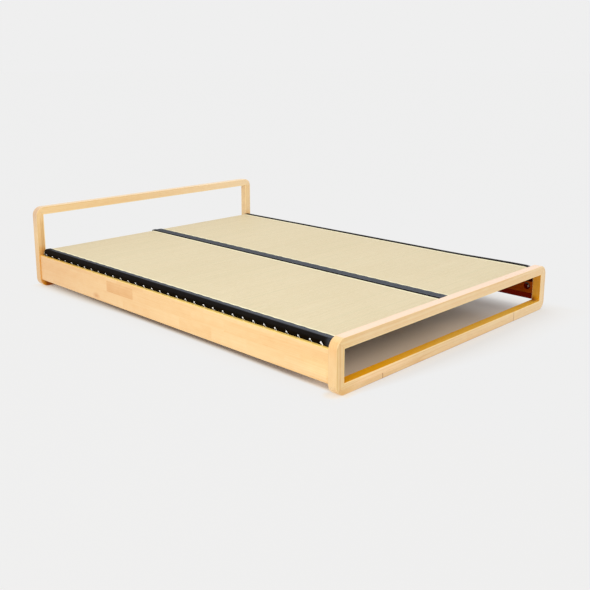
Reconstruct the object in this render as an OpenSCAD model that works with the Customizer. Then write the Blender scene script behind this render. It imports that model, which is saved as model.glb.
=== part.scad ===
// Tatami platform bed: two closed timber loops on the floor, low at the foot
// and tall at the head, joined by two side rails. Ledgers on the rails carry
// slats, a centre beam on three legs carries their middle, and two tatami
// mats with cloth borders lie on the slats.
// X runs across the bed, Y from foot to head, Z up. The origin is on the
// floor, at the middle of the bed.

/* [Overall] */
// Outer width of the two loops
bed_w = 1578; // [1450:2:1700]
// Overall length, from the foot loop's outer face to the head loop's
bed_l = 2212; // [2060:2:2300]
// Height of the foot loop
foot_h = 226; // [216:1:260]
// Height of the head loop
head_h = 443; // [380:1:600]

/* [Loops] */
// Width of the foot loop's uprights, seen from the foot
foot_post_w = 44; // [44:1:50]
// Width of the head loop's uprights, a little slimmer
head_post_w = 42; // [40:1:50]
// Depth of every loop member along the bed
loop_d = 44; // [42:1:50]
// Thickness of the foot loop's top member
foot_top_t = 44; // [40:1:50]
// Thickness of the head loop's top member
head_top_t = 41; // [38:1:50]
// Thickness of the bottom members: upper layer and runner together
bottom_t = 47; // [44:1:52]
// Thickness of the runner layer that touches the floor
runner_t = 23; // [18:1:24]
// Length of the left end piece of each runner
runner_left_l = 275; // [200:5:400]
// Length of the right end piece of each runner
runner_right_l = 295; // [200:5:400]
// Outer corner radius of the loops
corner_r = 46; // [30:1:55]

/* [Side rails] */
// How far a rail's outer face stands back from the loops' sides
rail_inset = 6; // [3:1:8]
// Thickness of a side rail
rail_t = 18; // [17:1:20]
// Underside of the side rails above the floor
rail_z0 = 42; // [36:1:48]
// Top of the side rails above the floor
rail_z1 = 179; // [174:1:182]
// Thickness of the ledger along the inside of each rail
ledger_t = 20; // [18:1:22]
// Underside of the ledgers above the floor
ledger_z0 = 77; // [70:1:82]
// Top of the ledgers, where the slats rest
ledger_z1 = 136; // [134:1:140]

/* [Rail joints] */
// Diameter of the round pocket for the nut
pocket_d = 36; // [34:1:38]
// Distance from a rail's end to the middle of the pocket
pocket_y = 31; // [28:1:34]
// Height of the hanger bolts above the floor
bolt_z = 112; // [106:1:114]
// Diameter of the hanger bolts
bolt_d = 8; // [7:0.5:9]

/* [Slats and centre support] */
// Width of a slat along the bed
slat_w = 90; // [70:1:110]
// Thickness of a slat
slat_t = 18; // [16:1:20]
// Middle of the first slat, from the foot loop's outer face
slat_first = 146; // [120:1:160]
// Width of the centre beam
beam_w = 44; // [36:1:60]
// Height of the centre beam
beam_h = 64; // [50:1:80]
// Length of the centre beam
beam_l = 1560; // [1300:10:1700]
// Side of a square centre leg
leg_w = 44; // [36:1:50]

/* [Mats] */
// Thickness of a mat
mat_t = 55; // [45:1:60]
// Width of the cloth border on top of a mat
border_w = 36; // [25:1:45]
// Width of the border on top where the two mats meet
border_in_w = 31; // [25:1:45]
// Gap round the mats: to the rails and between the two mats
mat_gap = 2; // [1.5:0.5:3]
// Gap between the mats and the foot loop
foot_gap = 10; // [5:1:30]
// Gap between the mats and the head loop
head_gap = 3; // [3:1:60]
// Number of stitches along one side of a mat
stitch_n = 33; // [20:1:40]

/* [Hidden] */
$fn = 48;
e = 1;                                   // overcut for through holes
hw = bed_w / 2;
hl = bed_l / 2;
inner_y = hl - loop_d;                   // the loops' faces towards the mats
rail_x0 = hw - rail_inset;               // a rail's outer face
rail_x1 = rail_x0 - rail_t;              // a rail's inner face
ledger_x = rail_x1 - ledger_t;           // a ledger's inner face
slat_n = 13;
slat_last = bed_l - loop_d - head_gap - 16 - slat_w / 2;
slat_pitch = (slat_last - slat_first) / (slat_n - 1);
slat_z0 = ledger_z1;
slat_z1 = slat_z0 + slat_t;
mat_z0 = slat_z1;
mat_z1 = mat_z0 + mat_t;
mat_y0 = -inner_y + foot_gap;
mat_y1 = inner_y - head_gap;
mat_x1 = rail_x1 - mat_gap;              // a mat's outer side
mat_x0 = mat_gap / 2;                    // a mat's inner side
cloth_t = 1;
rush_t = 2;
thread_t = 0.8;
bolt_x = (rail_x1 + ledger_x) / 2;       // hanger bolts sit in the ledger's middle
pocket_dy = inner_y - pocket_y;
dowel_x = (rail_x0 + rail_x1) / 2;
dowel_zs = [rail_z0 + 22, rail_z1 - 24];
dowel_d = 8;
dowel_l = 36;
screw_n = 8;
beam_z0 = slat_z0 - beam_h;
leg_ys = [-beam_l / 2 + 70, 0, beam_l / 2 - 70];
tongue = [24, 5, 32];                    // loose tongue in a mitre: across, thick, deep

maple = [0.95, 0.80, 0.60];
maple_pale = [0.97, 0.85, 0.68];
pine = [0.90, 0.80, 0.62];
steel = [0.72, 0.72, 0.74];
cloth = [0.12, 0.12, 0.14];
rush = [0.88, 0.83, 0.70];
board = [0.70, 0.60, 0.45];
white = [0.93, 0.93, 0.90];

// ---- loops, drawn in X and height, then given their depth along Y ----

module outline(h) {
  r = corner_r;
  union() {
    translate([-hw + r, 0]) square([bed_w - 2 * r, h]);
    translate([-hw, r]) square([bed_w, h - 2 * r]);
    for (sx = [-1, 1], z = [r, h - r]) translate([sx * (hw - r), z]) circle(r, $fn = 96);
  }
}

// one member of a loop from its mitred outline; y0 is its face towards the foot
module member(h, pts, y0) {
  translate([0, y0 + loop_d, 0]) rotate([90, 0, 0])
    linear_extrude(loop_d) intersection() { outline(h); polygon(pts); }
}

// h is a loop's height, tt its top member's thickness and pw its posts' width
function post_pts(h, tt, pw, s) = [[s * hw, 0], [s * (hw - pw), bottom_t], [s * (hw - pw), h - tt], [s * hw, h]];
function top_pts(h, tt, pw) = [[-hw, h], [-hw + pw, h - tt], [hw - pw, h - tt], [hw, h]];
function mitre_x(z, pw) = hw - pw * z / bottom_t;
function bar_pts(pw) = [[-mitre_x(runner_t, pw), runner_t], [mitre_x(runner_t, pw), runner_t], [hw - pw, bottom_t], [-hw + pw, bottom_t]];
function run_pts(pw, s, l) = [[s * hw, 0], [s * (hw - l), 0], [s * (hw - l), runner_t], [s * mitre_x(runner_t, pw), runner_t]];
run_m_pts = [[-hw + runner_left_l, 0], [hw - runner_right_l, 0], [hw - runner_right_l, runner_t], [-hw + runner_left_l, runner_t]];

// loose tongues across the four mitres of a loop
module tongues(h, tt, pw, y0) {
  for (s = [-1, 1]) {
    translate([s * (hw - pw + 9), y0 + loop_d / 2, bottom_t - 9 * bottom_t / pw])
      rotate([0, s * (90 - atan2(bottom_t, pw)), 0]) cube([tongue[0], tongue[2], tongue[1]], center = true);
    translate([s * (hw - pw + 9), y0 + loop_d / 2, h - tt + 9 * tt / pw])
      rotate([0, -s * (90 - atan2(tt, pw)), 0]) cube([tongue[0], tongue[2], tongue[1]], center = true);
  }
}

// what the rails' bolts and dowels need in a post; f is the post's face
// towards the mats, s the side and g the way into the post along Y
module post_holes(f, s, g) {
  translate([s * bolt_x, f - g * e, bolt_z]) rotate([-90 * g, 0, 0]) cylinder(h = 36 + e, d = bolt_d + 0.2);
  for (z = dowel_zs)
    translate([s * dowel_x, f - g * e, z]) rotate([-90 * g, 0, 0]) cylinder(h = dowel_l / 2 + 0.5 + e, d = dowel_d + 0.1);
}

module loop_top(h, tt, pw, y0) {
  difference() { member(h, top_pts(h, tt, pw), y0); tongues(h, tt, pw, y0); }
}
module loop_post(h, tt, pw, y0, s, g) {
  difference() {
    member(h, post_pts(h, tt, pw, s), y0);
    tongues(h, tt, pw, y0);
    post_holes(g < 0 ? y0 + loop_d : y0, s, g);
  }
}
module loop_bottom(h, tt, pw, y0) {
  difference() { member(h, bar_pts(pw), y0); tongues(h, tt, pw, y0); }
}

module foot_top_bar() { color(maple_pale) loop_top(foot_h, foot_top_t, foot_post_w, -hl); }
module foot_left_post() { color(maple) loop_post(foot_h, foot_top_t, foot_post_w, -hl, -1, -1); }
module foot_right_post() { color(maple) loop_post(foot_h, foot_top_t, foot_post_w, -hl, 1, -1); }
module foot_bottom_bar() { color(maple) loop_bottom(foot_h, foot_top_t, foot_post_w, -hl); }
module foot_runner_left() { color(maple) member(foot_h, run_pts(foot_post_w, -1, runner_left_l), -hl); }
module foot_runner_middle() { color(maple) member(foot_h, run_m_pts, -hl); }
module foot_runner_right() { color(maple) member(foot_h, run_pts(foot_post_w, 1, runner_right_l), -hl); }
module head_top_bar() { color(maple_pale) loop_top(head_h, head_top_t, head_post_w, inner_y); }
module head_left_post() { color(maple) loop_post(head_h, head_top_t, head_post_w, inner_y, -1, 1); }
module head_right_post() { color(maple) loop_post(head_h, head_top_t, head_post_w, inner_y, 1, 1); }
module head_bottom_bar() { color(maple) loop_bottom(head_h, head_top_t, head_post_w, inner_y); }
module head_runner_left() { color(maple) member(head_h, run_pts(head_post_w, -1, runner_left_l), inner_y); }
module head_runner_middle() { color(maple) member(head_h, run_m_pts, inner_y); }
module head_runner_right() { color(maple) member(head_h, run_pts(head_post_w, 1, runner_right_l), inner_y); }
module mitre_tongues() {
  color(pine) {
    tongues(foot_h, foot_top_t, foot_post_w, -hl);
    tongues(head_h, head_top_t, head_post_w, inner_y);
  }
}

// ---- side rails and their ledgers; s is -1 on the left and 1 on the right ----

module box_x(s, xa, xb, y0, y1, z0, z1) {
  x0 = min(s * xa, s * xb);
  translate([x0, y0, z0]) cube([abs(xa - xb), y1 - y0, z1 - z0]);
}

function ledger_screw_y(i) = -inner_y + 120 + i * (2 * inner_y - 240) / (screw_n - 1);
ledger_screw_z = ledger_z0 + 22;

// countersunk wood screw along -Z from its head's face
module screw(l, d, hd, grow = 0) {
  translate([0, 0, -l]) cylinder(h = l - 3, d = d + grow, $fn = 24);
  translate([0, 0, -3]) cylinder(h = 3, d1 = d + grow, d2 = hd + grow, $fn = 24);
}
module ledger_screw_at(s, i, grow = 0) {
  translate([s * ledger_x, ledger_screw_y(i), ledger_screw_z]) rotate([0, -s * 90, 0]) screw(32, 4, 8, grow);
}

module side_rail(s) {
  difference() {
    box_x(s, rail_x0, rail_x1, -inner_y, inner_y, rail_z0, rail_z1);
    for (g = [-1, 1], z = dowel_zs)
      translate([s * dowel_x, g * (inner_y + e), z]) rotate([g * 90, 0, 0]) cylinder(h = dowel_l / 2 + 0.5 + e, d = dowel_d + 0.1);
    for (i = [0 : screw_n - 1]) ledger_screw_at(s, i, 0.1);
  }
}
module ledger(s) {
  difference() {
    box_x(s, rail_x1, ledger_x, -inner_y, inner_y, ledger_z0, ledger_z1);
    for (g = [-1, 1]) {
      // the nut's pocket, open towards the inside of the bed
      translate([s * (ledger_x - e), g * pocket_dy, bolt_z]) rotate([0, s * 90, 0]) cylinder(h = ledger_t + 2 * e, d = pocket_d, $fn = 64);
      translate([s * bolt_x, g * (inner_y + e), bolt_z]) rotate([g * 90, 0, 0]) cylinder(h = pocket_y + e, d = bolt_d + 1);
    }
    for (i = [0 : screw_n - 1]) ledger_screw_at(s, i, 0.1);
    for (i = [0 : slat_n - 1]) slat_screw_at(s * bolt_x, i, 0.1);
  }
}
module side_rail_left() { color(maple) side_rail(-1); }
module side_rail_right() { color(maple) side_rail(1); }
module ledger_left() { color(maple) ledger(-1); }
module ledger_right() { color(maple) ledger(1); }
module ledger_screws() { color(steel) for (s = [-1, 1], i = [0 : screw_n - 1]) ledger_screw_at(s, i); }

module rail_dowels() {
  color(pine) for (s = [-1, 1], g = [-1, 1], z = dowel_zs)
    translate([s * dowel_x, g * inner_y, z]) rotate([90, 0, 0]) cylinder(h = dowel_l, d = dowel_d, center = true, $fn = 32);
}

// hanger bolt, half-moon washer and nut at each of the four rail ends
washer_t = 8;
module hanger_bolts() {
  color(steel) for (s = [-1, 1], g = [-1, 1])
    translate([s * bolt_x, g * (inner_y + 35), bolt_z]) rotate([g * 90, 0, 0]) cylinder(h = 35 + pocket_y - 2, d = bolt_d, $fn = 32);
}
module half_moon_washers() {
  color(steel) for (s = [-1, 1], g = [-1, 1])
    translate([s * bolt_x, g * pocket_dy, bolt_z]) difference() {
      rotate([0, 90, 0]) cylinder(h = 14, d = pocket_d - 0.2, center = true, $fn = 64);
      translate([0, -g * (washer_t), 0]) cube([20, pocket_d, pocket_d + 2], center = true);
      rotate([90, 0, 0]) cylinder(h = pocket_d + 2, d = bolt_d + 0.6, center = true, $fn = 32);
    }
}
module hex_nuts() {
  color(steel) for (s = [-1, 1], g = [-1, 1])
    translate([s * bolt_x, g * (pocket_dy + pocket_d / 2 - washer_t - 6.5), bolt_z])
      rotate([-90 * g, 0, 0]) difference() {
        cylinder(h = 6.4, d = 15, $fn = 6);
        translate([0, 0, -e]) cylinder(h = 6.4 + 2 * e, d = bolt_d + 0.1, $fn = 32);
      }
}

// ---- slats and the centre support ----

function slat_y(i) = -hl + slat_first + i * slat_pitch;
function on_beam(i) = abs(slat_y(i)) < beam_l / 2 - 15;
module slat_screw_at(x, i, grow = 0) {
  translate([x, slat_y(i), slat_z1]) screw(40, 4, 8, grow);
}
module slat(i) {
  color(pine) difference() {
    translate([-rail_x1 + 1, slat_y(i) - slat_w / 2, slat_z0]) cube([2 * rail_x1 - 2, slat_w, slat_t]);
    for (x = [-bolt_x, bolt_x]) slat_screw_at(x, i, 0.1);
    if (on_beam(i)) slat_screw_at(0, i, 0.1);
  }
}
module slat_screws() {
  color(steel) for (i = [0 : slat_n - 1]) {
    for (x = [-bolt_x, bolt_x]) slat_screw_at(x, i);
    if (on_beam(i)) slat_screw_at(0, i);
  }
}
module centre_beam() {
  color(pine) difference() {
    translate([-beam_w / 2, -beam_l / 2, beam_z0]) cube([beam_w, beam_l, beam_h]);
    for (i = [0 : slat_n - 1]) if (on_beam(i)) slat_screw_at(0, i, 0.1);
    for (y = leg_ys) translate([0, y, beam_z0 - e]) cylinder(h = 20.5 + e, d = 12.1, $fn = 32);
  }
}
module centre_leg(y) {
  color(pine) difference() {
    translate([-leg_w / 2, y - leg_w / 2, 0]) cube([leg_w, leg_w, beam_z0]);
    translate([0, y, beam_z0 - 20.5]) cylinder(h = 20.5 + e, d = 12.1, $fn = 32);
  }
}
module centre_leg_foot() { centre_leg(leg_ys[0]); }
module centre_leg_middle() { centre_leg(leg_ys[1]); }
module centre_leg_head() { centre_leg(leg_ys[2]); }
module leg_dowels() {
  color(board) for (y = leg_ys) translate([0, y, beam_z0]) cylinder(h = 40, d = 12, center = true, $fn = 32);
}

// ---- mats; s is -1 on the left and 1 on the right, o picks the outer side ----

module mat_core(s) {
  color(board) difference() {
    box_x(s, mat_x1 - cloth_t, mat_x0 + cloth_t, mat_y0 + rush_t, mat_y1 - rush_t, mat_z0, mat_z1 - cloth_t - rush_t);
    // the borders' turned-under edges lie in shallow rebates
    box_x(s, mat_x1, mat_x1 - 30, mat_y0, mat_y1, mat_z0 - e, mat_z0 + cloth_t);
    box_x(s, mat_x0, mat_x0 + 30, mat_y0, mat_y1, mat_z0 - e, mat_z0 + cloth_t);
  }
}
// the woven rush lies on top and turns down over both ends; under the borders
// it is pressed down by the thickness of their cloth
module mat_rush(s) {
  color(rush) difference() {
    box_x(s, mat_x1 - cloth_t, mat_x0 + cloth_t, mat_y0, mat_y1, mat_z0 + cloth_t, mat_z1);
    box_x(s, mat_x1 + e, mat_x0 - e, mat_y0 + rush_t, mat_y1 - rush_t, mat_z0 - e, mat_z1 - cloth_t - rush_t);
    box_x(s, mat_x1 + e, mat_x1 - border_w, mat_y0 - e, mat_y1 + e, mat_z1 - cloth_t, mat_z1 + e);
    box_x(s, mat_x0 - e, mat_x0 + border_in_w, mat_y0 - e, mat_y1 + e, mat_z1 - cloth_t, mat_z1 + e);
  }
}
module mat_border(s, outer) {
  xa = outer ? mat_x1 : mat_x0;          // the mat's side that the border wraps
  k = outer ? -1 : 1;                    // the way in from that side
  w = outer ? border_w : border_in_w;
  color(cloth) translate([0, mat_y1, 0]) rotate([90, 0, 0]) linear_extrude(mat_y1 - mat_y0) polygon([
    [s * xa, mat_z0], [s * (xa + k * 29.5), mat_z0], [s * (xa + k * 29.5), mat_z0 + cloth_t],
    [s * (xa + k * cloth_t), mat_z0 + cloth_t], [s * (xa + k * cloth_t), mat_z1 - cloth_t],
    [s * (xa + k * w), mat_z1 - cloth_t], [s * (xa + k * w), mat_z1], [s * xa, mat_z1]]);
}
// short slanting stitches along the sides, each one leaning down to the foot
module mat_stitches(s) {
  pitch = (mat_y1 - mat_y0 - 85) / (stitch_n - 1);
  color(white) for (i = [0 : stitch_n - 1], outer = [0, 1]) {
    t = outer == 1 ? thread_t : 0.6 * thread_t;
    x = outer == 1 ? mat_x1 + t / 2 : mat_x0 - t / 2;
    translate([s * x, mat_y0 + 41 + i * pitch, mat_z1 - 28]) rotate([-45, 0, 0]) cube([t, 1.8, 18], center = true);
  }
}
module mat_left_core() { mat_core(-1); }
module mat_left_rush() { mat_rush(-1); }
module mat_left_border_outer() { mat_border(-1, true); }
module mat_left_border_inner() { mat_border(-1, false); }
module mat_left_stitches() { mat_stitches(-1); }
module mat_right_core() { mat_core(1); }
module mat_right_rush() { mat_rush(1); }
module mat_right_border_outer() { mat_border(1, true); }
module mat_right_border_inner() { mat_border(1, false); }
module mat_right_stitches() { mat_stitches(1); }

foot_top_bar();
foot_left_post();
foot_right_post();
foot_bottom_bar();
foot_runner_left();
foot_runner_middle();
foot_runner_right();
head_top_bar();
head_left_post();
head_right_post();
head_bottom_bar();
head_runner_left();
head_runner_middle();
head_runner_right();
mitre_tongues();
side_rail_left();
side_rail_right();
ledger_left();
ledger_right();
ledger_screws();
rail_dowels();
hanger_bolts();
half_moon_washers();
hex_nuts();
centre_beam();
centre_leg_foot();
centre_leg_middle();
centre_leg_head();
leg_dowels();
slat(0);  // slat_01
slat(1);  // slat_02
slat(2);  // slat_03
slat(3);  // slat_04
slat(4);  // slat_05
slat(5);  // slat_06
slat(6);  // slat_07
slat(7);  // slat_08
slat(8);  // slat_09
slat(9);  // slat_10
slat(10);  // slat_11
slat(11);  // slat_12
slat(12);  // slat_13
slat_screws();
mat_left_core();
mat_left_rush();
mat_left_border_outer();
mat_left_border_inner();
mat_left_stitches();
mat_right_core();
mat_right_rush();
mat_right_border_outer();
mat_right_border_inner();
mat_right_stitches();
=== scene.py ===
"""Tatami platform bed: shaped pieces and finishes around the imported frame.

Metres, in the frame's own axes: X across the bed, Y from foot to head, Z up.
Lengths written in millimetres carry the factor MM.
"""
import bpy
import math
import numpy as np
from mathutils import Matrix, Vector


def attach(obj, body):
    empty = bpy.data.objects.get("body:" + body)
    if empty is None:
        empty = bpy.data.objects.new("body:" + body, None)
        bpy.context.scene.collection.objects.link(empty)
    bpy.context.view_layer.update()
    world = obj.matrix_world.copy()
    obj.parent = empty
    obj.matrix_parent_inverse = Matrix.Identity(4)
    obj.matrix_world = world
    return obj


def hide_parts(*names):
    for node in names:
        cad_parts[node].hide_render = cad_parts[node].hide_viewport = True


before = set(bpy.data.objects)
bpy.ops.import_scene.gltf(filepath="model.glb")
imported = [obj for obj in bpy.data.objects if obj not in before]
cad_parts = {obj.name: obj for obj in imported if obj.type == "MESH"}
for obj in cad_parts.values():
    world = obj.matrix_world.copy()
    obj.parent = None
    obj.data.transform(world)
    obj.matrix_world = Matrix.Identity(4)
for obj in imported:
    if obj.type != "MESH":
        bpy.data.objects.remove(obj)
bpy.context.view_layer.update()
scene = bpy.context.scene
MM = 0.001

# ---------------------------------------------------------------- sizes, mm
HW, HL = 789.0, 1106.0
LOOP_D = 44.0
INNER = HL - LOOP_D
CORNER = 46.0
RUNNER_T, BOTTOM_T = 23.0, 47.0
FOOT = dict(h=226.0, tt=44.0, pw=44.0, y0=-HL)
HEAD = dict(h=443.0, tt=41.0, pw=42.0, y0=INNER)
RUN_L, RUN_R = 275.0, 295.0
RAIL_X0, RAIL_X1 = 783.0, 765.0
RAIL_Z0, RAIL_Z1 = 42.0, 179.0
LEDGER_X, LEDGER_Z0, LEDGER_Z1 = 745.0, 77.0, 136.0
BOLT_X, BOLT_Z = 755.0, 112.0
POCKET_Y, POCKET_D = INNER - 31.0, 36.0
SLAT_Z0, SLAT_Z1, SLAT_W = 136.0, 154.0, 90.0
SLAT_Y = [-960.0 + 1958.0 / 12 * i for i in range(13)]
BEAM_W, BEAM_L, BEAM_Z0 = 44.0, 1560.0, 72.0
LEG_Y = [-710.0, 0.0, 710.0]
MAT_X0, MAT_X1 = 1.0, 763.0
MAT_Y0, MAT_Y1 = -1052.0, 1059.0
MAT_Z0, MAT_Z1 = 154.0, 209.0
BORDER_W, BORDER_IN_W = 36.0, 31.0
STITCH_N = 33
PITCH = (MAT_Y1 - MAT_Y0 - 85.0) / (STITCH_N - 1)
# hand-sewn, so the spacing drifts a little
DRIFT = np.interp(range(STITCH_N), [0, 1, 13, 17, 21, 25, 30, 31, 32], [-1, -7, -8, -11, -8, -1, -1, 5, 8])
STITCH_Y = [MAT_Y0 + 47.0 + i * PITCH + DRIFT[i] for i in range(STITCH_N)]


def srgb(r, g, b):
    def f(c):
        c = c / 255.0
        return c / 12.92 if c <= 0.04045 else ((c + 0.055) / 1.055) ** 2.4
    return (f(r), f(g), f(b), 1.0)


# ---------------------------------------------------------------- node graphs

class Graph:
    """A material with one principled shader, and short calls to grow its nodes."""

    def __init__(self, name):
        self.mat = bpy.data.materials.new(name)
        self.mat.use_nodes = True
        self.nt = self.mat.node_tree
        self.nt.nodes.clear()
        out = self.node("ShaderNodeOutputMaterial")
        self.bsdf = self.node("ShaderNodeBsdfPrincipled")
        self.nt.links.new(self.bsdf.outputs[0], out.inputs["Surface"])

    def node(self, kind, **props):
        n = self.nt.nodes.new(kind)
        for k, v in props.items():
            setattr(n, k, v)
        return n

    def put(self, socket, value):
        if isinstance(value, bpy.types.NodeSocket):
            self.nt.links.new(value, socket)
        else:
            socket.default_value = value

    def math(self, op, a, b=0.0, c=0.0, clamp=False):
        n = self.node("ShaderNodeMath", operation=op, use_clamp=clamp)
        self.put(n.inputs[0], a)
        self.put(n.inputs[1], b)
        self.put(n.inputs[2], c)
        return n.outputs[0]

    def vec(self, op, a, b=(0, 0, 0), scale=None):
        n = self.node("ShaderNodeVectorMath", operation=op)
        self.put(n.inputs[0], a)
        if op == "SCALE":
            self.put(n.inputs["Scale"], scale)
        else:
            self.put(n.inputs[1], b)
        return n.outputs["Value"] if op in ("DOT_PRODUCT", "LENGTH", "DISTANCE") else n.outputs["Vector"]

    def split(self, v):
        n = self.node("ShaderNodeSeparateXYZ")
        self.put(n.inputs[0], v)
        return n.outputs[0], n.outputs[1], n.outputs[2]

    def join(self, x=0.0, y=0.0, z=0.0):
        n = self.node("ShaderNodeCombineXYZ")
        for s, v in zip(n.inputs, (x, y, z)):
            self.put(s, v)
        return n.outputs[0]

    def attr(self, name, out="Vector"):
        return self.node("ShaderNodeAttribute", attribute_name=name).outputs[out]

    def noise(self, v, scale=1.0, detail=3.0, rough=0.55, w=None, distort=0.0):
        n = self.node("ShaderNodeTexNoise", noise_dimensions="3D" if w is None else "1D")
        if w is None:
            self.put(n.inputs["Vector"], v)
        else:
            self.put(n.inputs["W"], w)
        self.put(n.inputs["Scale"], scale)
        self.put(n.inputs["Detail"], detail)
        self.put(n.inputs["Roughness"], rough)
        self.put(n.inputs["Distortion"], distort)
        return n.outputs[0]

    def white(self, v):
        n = self.node("ShaderNodeTexWhiteNoise", noise_dimensions="3D")
        self.put(n.inputs["Vector"], v)
        return n.outputs["Value"]

    def span(self, v, a, b, c=0.0, d=1.0, smooth=False):
        n = self.node("ShaderNodeMapRange", interpolation_type="SMOOTHSTEP" if smooth else "LINEAR")
        for s, x in zip(n.inputs, (v, a, b, c, d)):
            self.put(s, x)
        return n.outputs[0]

    def mix(self, f, a, b, blend="MIX"):
        n = self.node("ShaderNodeMix", data_type="RGBA", blend_type=blend)
        self.put(n.inputs[0], f)
        self.put(n.inputs[6], a)
        self.put(n.inputs[7], b)
        return n.outputs[2]

    def bump(self, height, distance, strength=1.0, normal=None):
        n = self.node("ShaderNodeBump")
        n.inputs["Distance"].default_value = distance
        n.inputs["Strength"].default_value = strength
        self.put(n.inputs["Height"], height)
        if normal is not None:
            self.put(n.inputs["Normal"], normal)
        return n.outputs[0]

    def set(self, **values):
        for k, v in values.items():
            self.put(self.bsdf.inputs[k.replace("_", " ")], v)


def wood(name, pale, mid, dark, rough=0.36, coat=0.5, figure=1.0, knots=0.0, staves=False, spec=0.5, arris_highlight=None):
    """Solid timber drawn in three dimensions from the piece's own grain axes."""
    g = Graph(name)
    p = g.attr("grain")
    along, c1, c2 = g.split(p)
    tone = g.attr("tone", "Fac")
    if staves:
        # edge-glued board: rows of finger-jointed staves, each cut from other wood
        yz = g.attr("board")
        by, bz, side = g.split(yz)
        row = g.math("FLOOR", g.math("DIVIDE", g.math("SUBTRACT", bz, 0.0505), 0.0548))
        zig = g.math("ABSOLUTE", g.math("SUBTRACT", g.math("FRACT", g.math("DIVIDE", bz, 0.0066)), 0.5))
        zig = g.math("MULTIPLY", zig, 0.016)
        shift = g.math("MULTIPLY", row, 0.0837)
        run = g.math("DIVIDE", g.math("ADD", g.math("ADD", by, shift), g.math("SUBTRACT", zig, 0.0597)), 0.221)
        cell = g.math("FLOOR", run)
        pick = g.white(g.join(row, cell, side))
        pick2 = g.white(g.join(cell, side, row))
        along = g.math("ADD", along, g.math("MULTIPLY", pick, 9.0))
        c1 = g.math("ADD", c1, g.math("MULTIPLY", g.math("SUBTRACT", pick, 0.5), 0.16))
        c2 = g.math("ADD", c2, g.math("MULTIPLY", g.math("SUBTRACT", pick2, 0.5), 0.12))
        # glue lines between rows and at the finger joints
        rz = g.math("FRACT", g.math("DIVIDE", g.math("SUBTRACT", bz, 0.0505), 0.0548))
        line = g.math("MINIMUM", rz, g.math("SUBTRACT", 1.0, rz))
        rc = g.math("FRACT", run)
        line2 = g.math("MULTIPLY", g.math("MINIMUM", rc, g.math("SUBTRACT", 1.0, rc)), 4.0)
        glue = g.span(g.math("MINIMUM", line, line2), 0.0, 0.009, 1.0, 0.0)
    # growth rings, with a slow drift along the board
    drift = g.noise(g.join(g.math("MULTIPLY", along, 1.1), g.math("MULTIPLY", c1, 7.0), g.math("MULTIPLY", c2, 7.0)), 1.0, 2.0, 0.5)
    drift2 = g.noise(g.join(g.math("MULTIPLY", along, 0.35), g.math("MULTIPLY", c1, 3.0), g.math("MULTIPLY", c2, 3.0)), 1.0, 1.0, 0.5)
    rad = g.math("SQRT", g.math("ADD", g.math("POWER", c1, 2.0), g.math("POWER", c2, 2.0)))
    rad = g.math("ADD", rad, g.math("MULTIPLY", drift, 0.010))
    rad = g.math("ADD", rad, g.math("MULTIPLY", drift2, 0.030))
    ring = g.noise(None, 1.0, 3.0, 0.6, w=g.math("MULTIPLY", rad, 330.0))
    ring = g.span(ring, 0.38, 0.66, 0.0, 1.0, smooth=True)
    # fibres, flecks and slow colour drift
    fibre = g.noise(g.join(g.math("MULTIPLY", along, 7.0), g.math("MULTIPLY", c1, 900.0), g.math("MULTIPLY", c2, 900.0)), 1.0, 3.0, 0.6)
    fleck = g.noise(g.join(g.math("MULTIPLY", along, 85.0), g.math("MULTIPLY", c1, 1300.0), g.math("MULTIPLY", c2, 1300.0)), 1.0, 1.0, 0.5)
    fleck = g.span(fleck, 0.66, 0.80, 0.0, 1.0)
    cloud = g.noise(g.join(g.math("MULTIPLY", along, 1.6), g.math("MULTIPLY", c1, 16.0), g.math("MULTIPLY", c2, 16.0)), 1.0, 2.0, 0.5)
    mottle = g.noise(g.join(g.math("MULTIPLY", along, 22.0), g.math("MULTIPLY", c1, 40.0), g.math("MULTIPLY", c2, 40.0)), 1.0, 2.0, 0.5)
    f = g.math("MULTIPLY", ring, 0.42 * figure)
    f = g.math("ADD", f, g.math("MULTIPLY", g.math("SUBTRACT", fibre, 0.5), 0.52 * figure))
    f = g.math("ADD", f, g.math("MULTIPLY", g.math("SUBTRACT", cloud, 0.5), 0.75))
    f = g.math("ADD", f, g.math("MULTIPLY", g.math("SUBTRACT", mottle, 0.5), 0.42))
    f = g.math("ADD", f, g.math("ADD", tone, 0.34 if staves else 0.25))
    if staves:
        f = g.math("ADD", f, g.math("MULTIPLY", g.math("SUBTRACT", pick2, 0.5), 0.26))
        # one darker stave on the left board
        own = g.math("MULTIPLY", g.math("COMPARE", row, 1.0, 0.1), g.math("COMPARE", cell, DARK_STAVE, 0.1))
        own = g.math("MULTIPLY", own, g.math("LESS_THAN", side, 0.0))
        f = g.math("ADD", f, g.math("MULTIPLY", own, 0.34))
        f = g.math("ADD", f, g.math("MULTIPLY", glue, 0.10))
    col = g.mix(g.span(f, 0.0, 0.5), pale, mid)
    col = g.mix(g.span(f, 0.5, 1.25), col, dark)
    col = g.mix(g.math("MULTIPLY", fleck, 0.16 * figure), col, dark)
    if staves:
        # painted shade: the boards darken and warm towards the head, where less light falls
        col = g.mix(g.span(by, -0.3, 1.05), col, g.mix(1.0, col, (0.96, 0.88, 0.82, 1.0), "MULTIPLY"))
        # a paler stave low at the left board's foot end
        pale_end = g.math("MULTIPLY", g.span(by, -0.90, -0.97), g.math("MULTIPLY", g.span(bz, 0.066, 0.0685), g.span(bz, 0.140, 0.112)))
        pale_end = g.math("MULTIPLY", pale_end, g.math("LESS_THAN", side, 0.0))
        col = g.mix(g.math("MULTIPLY", pale_end, 0.55), col, g.mix(1.0, col, (1.03, 1.16, 1.20, 1.0), "MULTIPLY"))
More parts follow.
